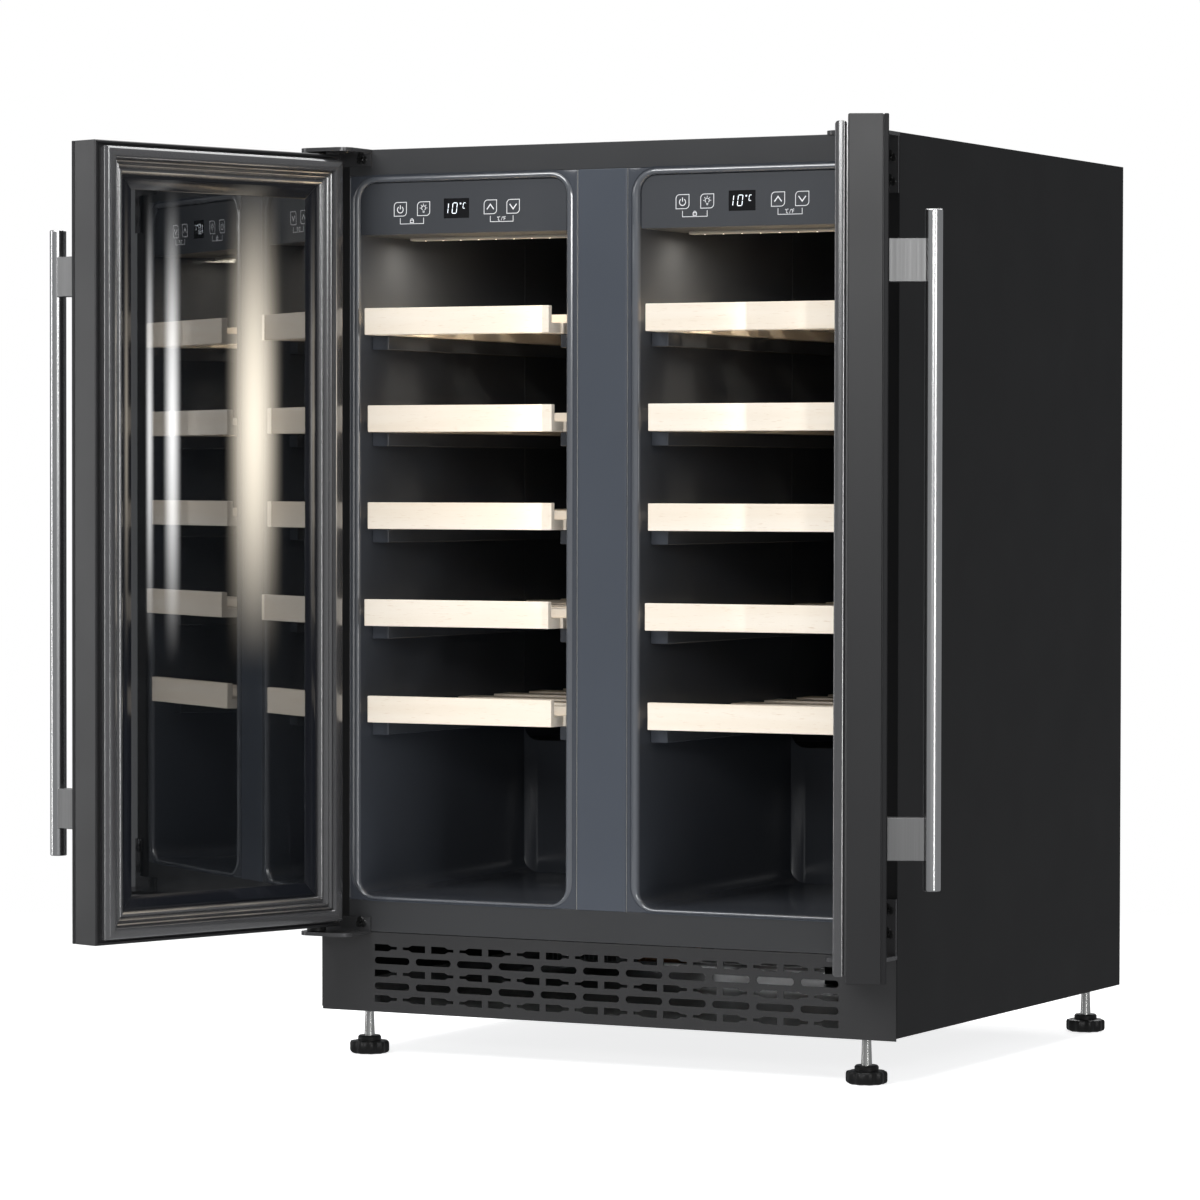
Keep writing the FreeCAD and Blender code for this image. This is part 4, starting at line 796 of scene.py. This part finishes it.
def symbols(bm, cx, y):
    """The four key outlines and their symbols, and the brackets that join each pair of keys."""
    middle = (KEY_LOW + KEY_HIGH) / 2
    for x in KEYS.values():
        stroke(bm, key_outline(cx + x), LINE * 0.8, y, closed=True)
    power_symbol(bm, cx + KEYS["power"], middle, y)
    lamp_symbol(bm, cx + KEYS["light"], middle, y)
    for key, way in (("up", 1), ("down", -1)):
        arrow_symbol(bm, cx + KEYS[key], middle, way, y)
    low, top = KEY_LOW - LINK_DROP, KEY_LOW - LINK_GAP
    for first, second in (("power", "light"), ("up", "down")):
        left, right = cx + KEYS[first], cx + KEYS[second]
        stroke(bm, [(left, top), (left, low), (right, low), (right, top)], LINE * 0.7, y)
    lock_symbol(bm, cx + (KEYS["power"] + KEYS["light"]) / 2, low, y)


SEGMENTS = {"a": ((0, 1), (1, 1)), "b": ((1, 1), (1, 0.5)), "c": ((1, 0.5), (1, 0)), "d": ((1, 0), (0, 0)),
            "e": ((0, 0), (0, 0.5)), "f": ((0, 0.5), (0, 1)), "g": ((0, 0.5), (1, 0.5))}
DIGITS = {"1": "bc", "0": "abcdef", "o": "abfg", "c": "adef", "f": "aefg"}


def digit(bm, shape, x, low, tall, y, width):
    """A seven-segment figure, leaning a little to the right."""
    wide = tall * DIGIT_WIDE
    for name in DIGITS[shape]:
        start, end = SEGMENTS[name]
        points = []
        for (u, v), (other_u, other_v) in ((start, end), (end, start)):
            u, v = u + (other_u - u) * DIGIT_GAP, v + (other_v - v) * DIGIT_GAP
            points.append((x + u * wide + v * tall * DIGIT_LEAN, low + v * tall))
        stroke(bm, points, width, y)


def degree_units(bm, cx, y):
    """The small unit marks under the up and down keys."""
    x = cx + (KEYS["up"] + KEYS["down"]) / 2
    low = KEY_LOW - UNIT_DROP
    for offset, shape in UNITS:
        start = x + offset
        stroke(bm, arc((start - DEGREE_X, low + DEGREE_RISE), DEGREE_R, 0, 315, 7), 0.3, y, closed=True)
        digit(bm, shape, start, low, UNIT_TALL, y, 0.55)
    stroke(bm, [(x - 0.6, low - 0.2), (x + 0.7, low + 3.2)], 0.35, y)


def control_panel(side):
    low = box_mm(f"control_panel_{side}")[0]
    cx = SIDES[side] * CELL_CENTRE
    face = low.y - SYMBOL_LIFT
    bm = bmesh.new()
    symbols(bm, cx, face)
    degree_units(bm, cx, face)
    # The printed symbols glow with painted light.
    piece(f"control_symbols_{side}", bm, ["print_painted_glow"], "cabinet")
    tall = DIGIT_HIGH - DIGIT_LOW
    lens = low.y + FIGURE_DEEP
    bm = bmesh.new()
    start = cx + DISPLAY_X
    for shape, offset, rise, share, width in FIGURES:
        digit(bm, shape, start + offset, DIGIT_LOW + tall * rise, tall * share, lens, width)
    piece(f"display_figures_{side}", bm, ["display_light"], "cabinet")
    keep(f"control_panel_{side}", "panel_plastic", 0.6)


LAMP_POINTS, LAMP_PITCH = 9, 19
LAMP_OUTLINE = [(0.9, 0.1), (0.9, -0.1), (0.5, -0.25)]
LAMP_WATTS, LAMP_COLOR, LAMP_SIZE, LAMP_BELOW = 0.45, (1.0, 0.86, 0.66), (0.18, 0.03), 2


def lamp(side):
    """A row of light points behind the lamp cover, and the warm light that they throw downwards."""
    low, high = box_mm("lamp_strips")
    cx = SIDES[side] * CELL_CENTRE
    middle = (low.y + high.y) / 2
    bm = bmesh.new()
    for k in range(LAMP_POINTS):
        x = cx + (k - (LAMP_POINTS - 1) / 2) * LAMP_PITCH
        turned(bm, LAMP_OUTLINE, (x, middle, low.z), steps=12)
    piece(f"lamp_points_{side}", bm, ["lamp_point"], "cabinet")
    light = bpy.data.lights.new(f"compartment_{side}", "AREA")
    light.shape = "RECTANGLE"
    light.size, light.size_y = LAMP_SIZE
    light.energy = LAMP_WATTS
    light.color = LAMP_COLOR
    obj = bpy.data.objects.new(f"compartment_{side}", light)
    obj.location = Vector((cx, middle, low.z - LAMP_BELOW)) * MM
    obj.visible_glossy = False
    bpy.context.scene.collection.objects.link(obj)


def controls():
    keep("display_modules", "display_lens", 0.2)
    keep("lamp_strips", "lamp_lens", 0.8, 3)
    for side in SIDES:
        control_panel(side)
        lamp(side)


# ---------------------------------------------------------------- levelling feet

STEM_FOOT = [(4.2, 16), (5.0, 17), (4.1, 41)]
STEM_R, STEM_END_R = 4.1, 3.4
KNOB_OUTLINE = [(15.5, 0), (18.2, 1.2), (19, 3.0), (19, 9.5), (18.2, 11.4), (16, 12)]
KNOB_WAVE, KNOB_LOBES = 0.1, 10
COLLAR_OUTLINE = [(11, 12), (11, 15.6), (9.8, 17), (5, 17)]


def foot(name):
    """A zinc stem that widens a little towards its scalloped hand knob and collar."""
    low, high = box_mm(name)
    place = ((low.x + high.x) / 2, (low.y + high.y) / 2, 0)
    bm = bmesh.new()
    turned(bm, [*STEM_FOOT, (STEM_R, high.z - 1), (STEM_END_R, high.z)], place, finish=1)
    turned(bm, KNOB_OUTLINE, place, steps=120, wave=KNOB_WAVE, lobes=KNOB_LOBES)
    turned(bm, COLLAR_OUTLINE, place)
    piece(f"{name}_knob", bm, ["foot_plastic", "bright_zinc"], name, [name])


# ---------------------------------------------------------------- rear screws

PAN_HEAD = [(3.6, 0), (3.6, 0.5), (2.6, 1.5), (1.2, 1.9)]
COVER_INSET, SIDE_INSET, PANEL_RISE, PANEL_INSET = 8, 9, 14, 12


def rear_screws():
    """Pan-head screws round the rear cover and the back panel."""
    low, high = box_mm("rear_cover")
    top = box_mm("back_panel")[1].z
    cover_rows = (low.z + COVER_INSET, high.z - COVER_INSET)
    panel_rows = (high.z + PANEL_RISE, (high.z + top) / 2, top - PANEL_INSET)
    bm = bmesh.new()
    for z in cover_rows + panel_rows:
        for x in (low.x + SIDE_INSET, 0, high.x - SIDE_INSET):
            turned(bm, PAN_HEAD, (x, high.y, z), "y", 20)
    piece("rear_screw_heads", bm, ["bright_zinc"], "cabinet")


# ---------------------------------------------------------------- stage, light and camera

FLOOR_REACH, FADE_FROM, FADE_TO, FLOOR_GLOW = 6, 0.5, 1.8, 0.75


def stage_floor():
    """A pale floor that fades into the pale background."""
    bm = bmesh.new()
    bmesh.ops.create_grid(bm, x_segments=8, y_segments=8, size=FLOOR_REACH)
    mesh = bpy.data.meshes.new("floor")
    bm.to_mesh(mesh)
    bm.free()
    floor = bpy.data.objects.new("floor", mesh)
    bpy.context.scene.collection.objects.link(floor)
    surface = Surface("floor", (0.9, 0.9, 0.9), 0.7, Specular_IOR_Level=0.1)
    surface.paint(surface.mix(surface.noise(3), (0.88, 0.88, 0.88), (0.92, 0.92, 0.92)))
    away = surface.node("VectorMath", {0: surface.space()}, operation="LENGTH").outputs["Value"]
    reach = {"Value": away, "From Min": FADE_FROM, "From Max": FADE_TO}
    fade = surface.node("MapRange", reach).outputs["Result"]
    clear = surface.node("BsdfTransparent").outputs["BSDF"]
    surface.set(surface.shader, "Emission Color", (1, 1, 1, 1))
    surface.set(surface.shader, "Emission Strength", FLOOR_GLOW)
    blend = surface.node("MixShader", {0: fade, 1: surface.shader.outputs["BSDF"], 2: clear})
    surface.tree.links.new(blend.outputs["Shader"], surface.tree.nodes["Material Output"].inputs["Surface"])
    mesh.materials.append(surface.material)
    floor.visible_glossy = False


AMBIENT_COLOR, AMBIENT_STRENGTH = (0.95, 0.97, 1.0, 1), 0.26


def world():
    """White to the camera, and a dim even light for everything else."""
    made = bpy.data.worlds.new("studio")
    bpy.context.scene.world = made
    made.use_nodes = True
    nodes, links = made.node_tree.nodes, made.node_tree.links
    ambient = nodes["Background"]
    ambient.inputs["Color"].default_value = AMBIENT_COLOR
    ambient.inputs["Strength"].default_value = AMBIENT_STRENGTH
    seen = nodes.new("ShaderNodeBackground")
    seen.inputs["Color"].default_value = (1, 1, 1, 1)
    path = nodes.new("ShaderNodeLightPath")
    mix = nodes.new("ShaderNodeMixShader")
    links.new(path.outputs["Is Camera Ray"], mix.inputs[0])
    links.new(ambient.outputs[0], mix.inputs[1])
    links.new(seen.outputs[0], mix.inputs[2])
    links.new(mix.outputs[0], nodes["World Output"].inputs["Surface"])


WHITE, WARM = (1, 1, 1), (1.0, 0.9, 0.74)
LIT_CENTRE = (0, 0.1, 0.45)
# Each softbox: place and size in metres, and watts.
SOFTBOXES = {
    "key": ((-0.7, -2.4, 2.4), (1.8, 1.2), 62),
    "front": ((2.0, -4.4, 1.45), (1.6, 0.6), 34),
    "top": ((0, 0.4, 3.0), (3.0, 3.0), 70),
    "left": ((-3.4, -1.4, 0.9), (0.5, 2.2), 14),
    "right": ((3.3, -2.4, 0.9), (0.25, 2.2), 18),
    "rear": ((-1.5, 4.0, 2.6), (2.0, 1.5), 36),
}
# Upright strips between the doors that only the left door's glass shows: x, width, watts and colour.
STRIPS = {"wide": (-0.052, 0.06, 0.5, WARM), "thin": (0.155, 0.02, 0.16, WHITE),
          "thinner": (0.215, 0.01, 0.06, WHITE)}
STRIP_DEPTH, STRIP_HEIGHT, STRIP_TALL = -0.02, 0.6, 0.5
STRIP_AIM = (-0.4, -0.2, 0.6)


def softbox(name, place, aim, size, watts, color=WHITE):
    """A rectangular area light that faces a point."""
    light = bpy.data.lights.new(name, "AREA")
    light.shape = "RECTANGLE"
    light.size, light.size_y = size
    light.energy = watts
    light.color = color
    obj = bpy.data.objects.new(name, light)
    obj.location = place
    obj.rotation_euler = (Vector(aim) - Vector(place)).to_track_quat("-Z", "Y").to_euler()
    bpy.context.scene.collection.objects.link(obj)
    return obj


def soft_edges(light):
    """Fades an area light out towards its edges, as a diffused strip does."""
    light.use_nodes = True
    nodes, links = light.node_tree.nodes, light.node_tree.links
    across = nodes.new("ShaderNodeSeparateXYZ")
    links.new(nodes.new("ShaderNodeNewGeometry").outputs["Parametric"], across.inputs[0])
    strength = None
    for axis in ("X", "Y"):
        middle = nodes.new("ShaderNodeMath")
        middle.operation = "PINGPONG"
        middle.inputs[1].default_value = 0.5
        links.new(across.outputs[axis], middle.inputs[0])
        rise = nodes.new("ShaderNodeMapRange")
        rise.interpolation_type = "SMOOTHSTEP"
        rise.inputs["From Max"].default_value = 0.5
        links.new(middle.outputs[0], rise.inputs["Value"])
        if strength is not None:
            both = nodes.new("ShaderNodeMath")
            both.operation = "MULTIPLY"
            links.new(strength, both.inputs[0])
            links.new(rise.outputs["Result"], both.inputs[1])
            strength = both.outputs[0]
        else:
            strength = rise.outputs["Result"]
    links.new(strength, nodes["Emission"].inputs["Strength"])


def lights():
    for name, (place, size, watts) in SOFTBOXES.items():
        softbox(name, place, LIT_CENTRE, size, watts)
    for name, (x, wide, watts, color) in STRIPS.items():
        place = (x, STRIP_DEPTH, STRIP_HEIGHT)
        strip = softbox(f"{name}_strip", place, STRIP_AIM, (wide, STRIP_TALL), watts, color)
        strip.visible_camera = False
        strip.visible_transmission = False
        soft_edges(strip.data)


LENS, SENSOR, SHIFT_UP, FAR_CLIP = 148.8, 36, 0.0063, 50
CAMERA_PLACE, CAMERA_ANGLES = (2.0857, -4.0496, 0.5408), (88.558, -0.105, 27.272)


def camera():
    """A long lens from the front right, a little above mid-height."""
    data = bpy.data.cameras.new("camera")
    data.lens = LENS
    data.sensor_width = SENSOR
    data.shift_y = SHIFT_UP
    data.clip_end = FAR_CLIP
    obj = bpy.data.objects.new("camera", data)
    obj.location = CAMERA_PLACE
    obj.rotation_euler = tuple(math.radians(angle) for angle in CAMERA_ANGLES)
    bpy.context.scene.collection.objects.link(obj)
    bpy.context.scene.camera = obj


def build():
    cabinet_shell()
    compartment_fittings()
    machine_bay()
    for side in SIDES:
        liner(side)
        door(side)
        for level in range(1, 6):
            shelf(f"shelf_{side}_{level}")
        for end in ("front", "rear"):
            foot(f"foot_{end}_{side}")
    hinges()
    controls()
    rear_screws()
    stage_floor()
    world()
    lights()
    camera()
    bpy.context.scene.view_settings.view_transform = "Standard"


build()
bpy.context.view_layer.update()
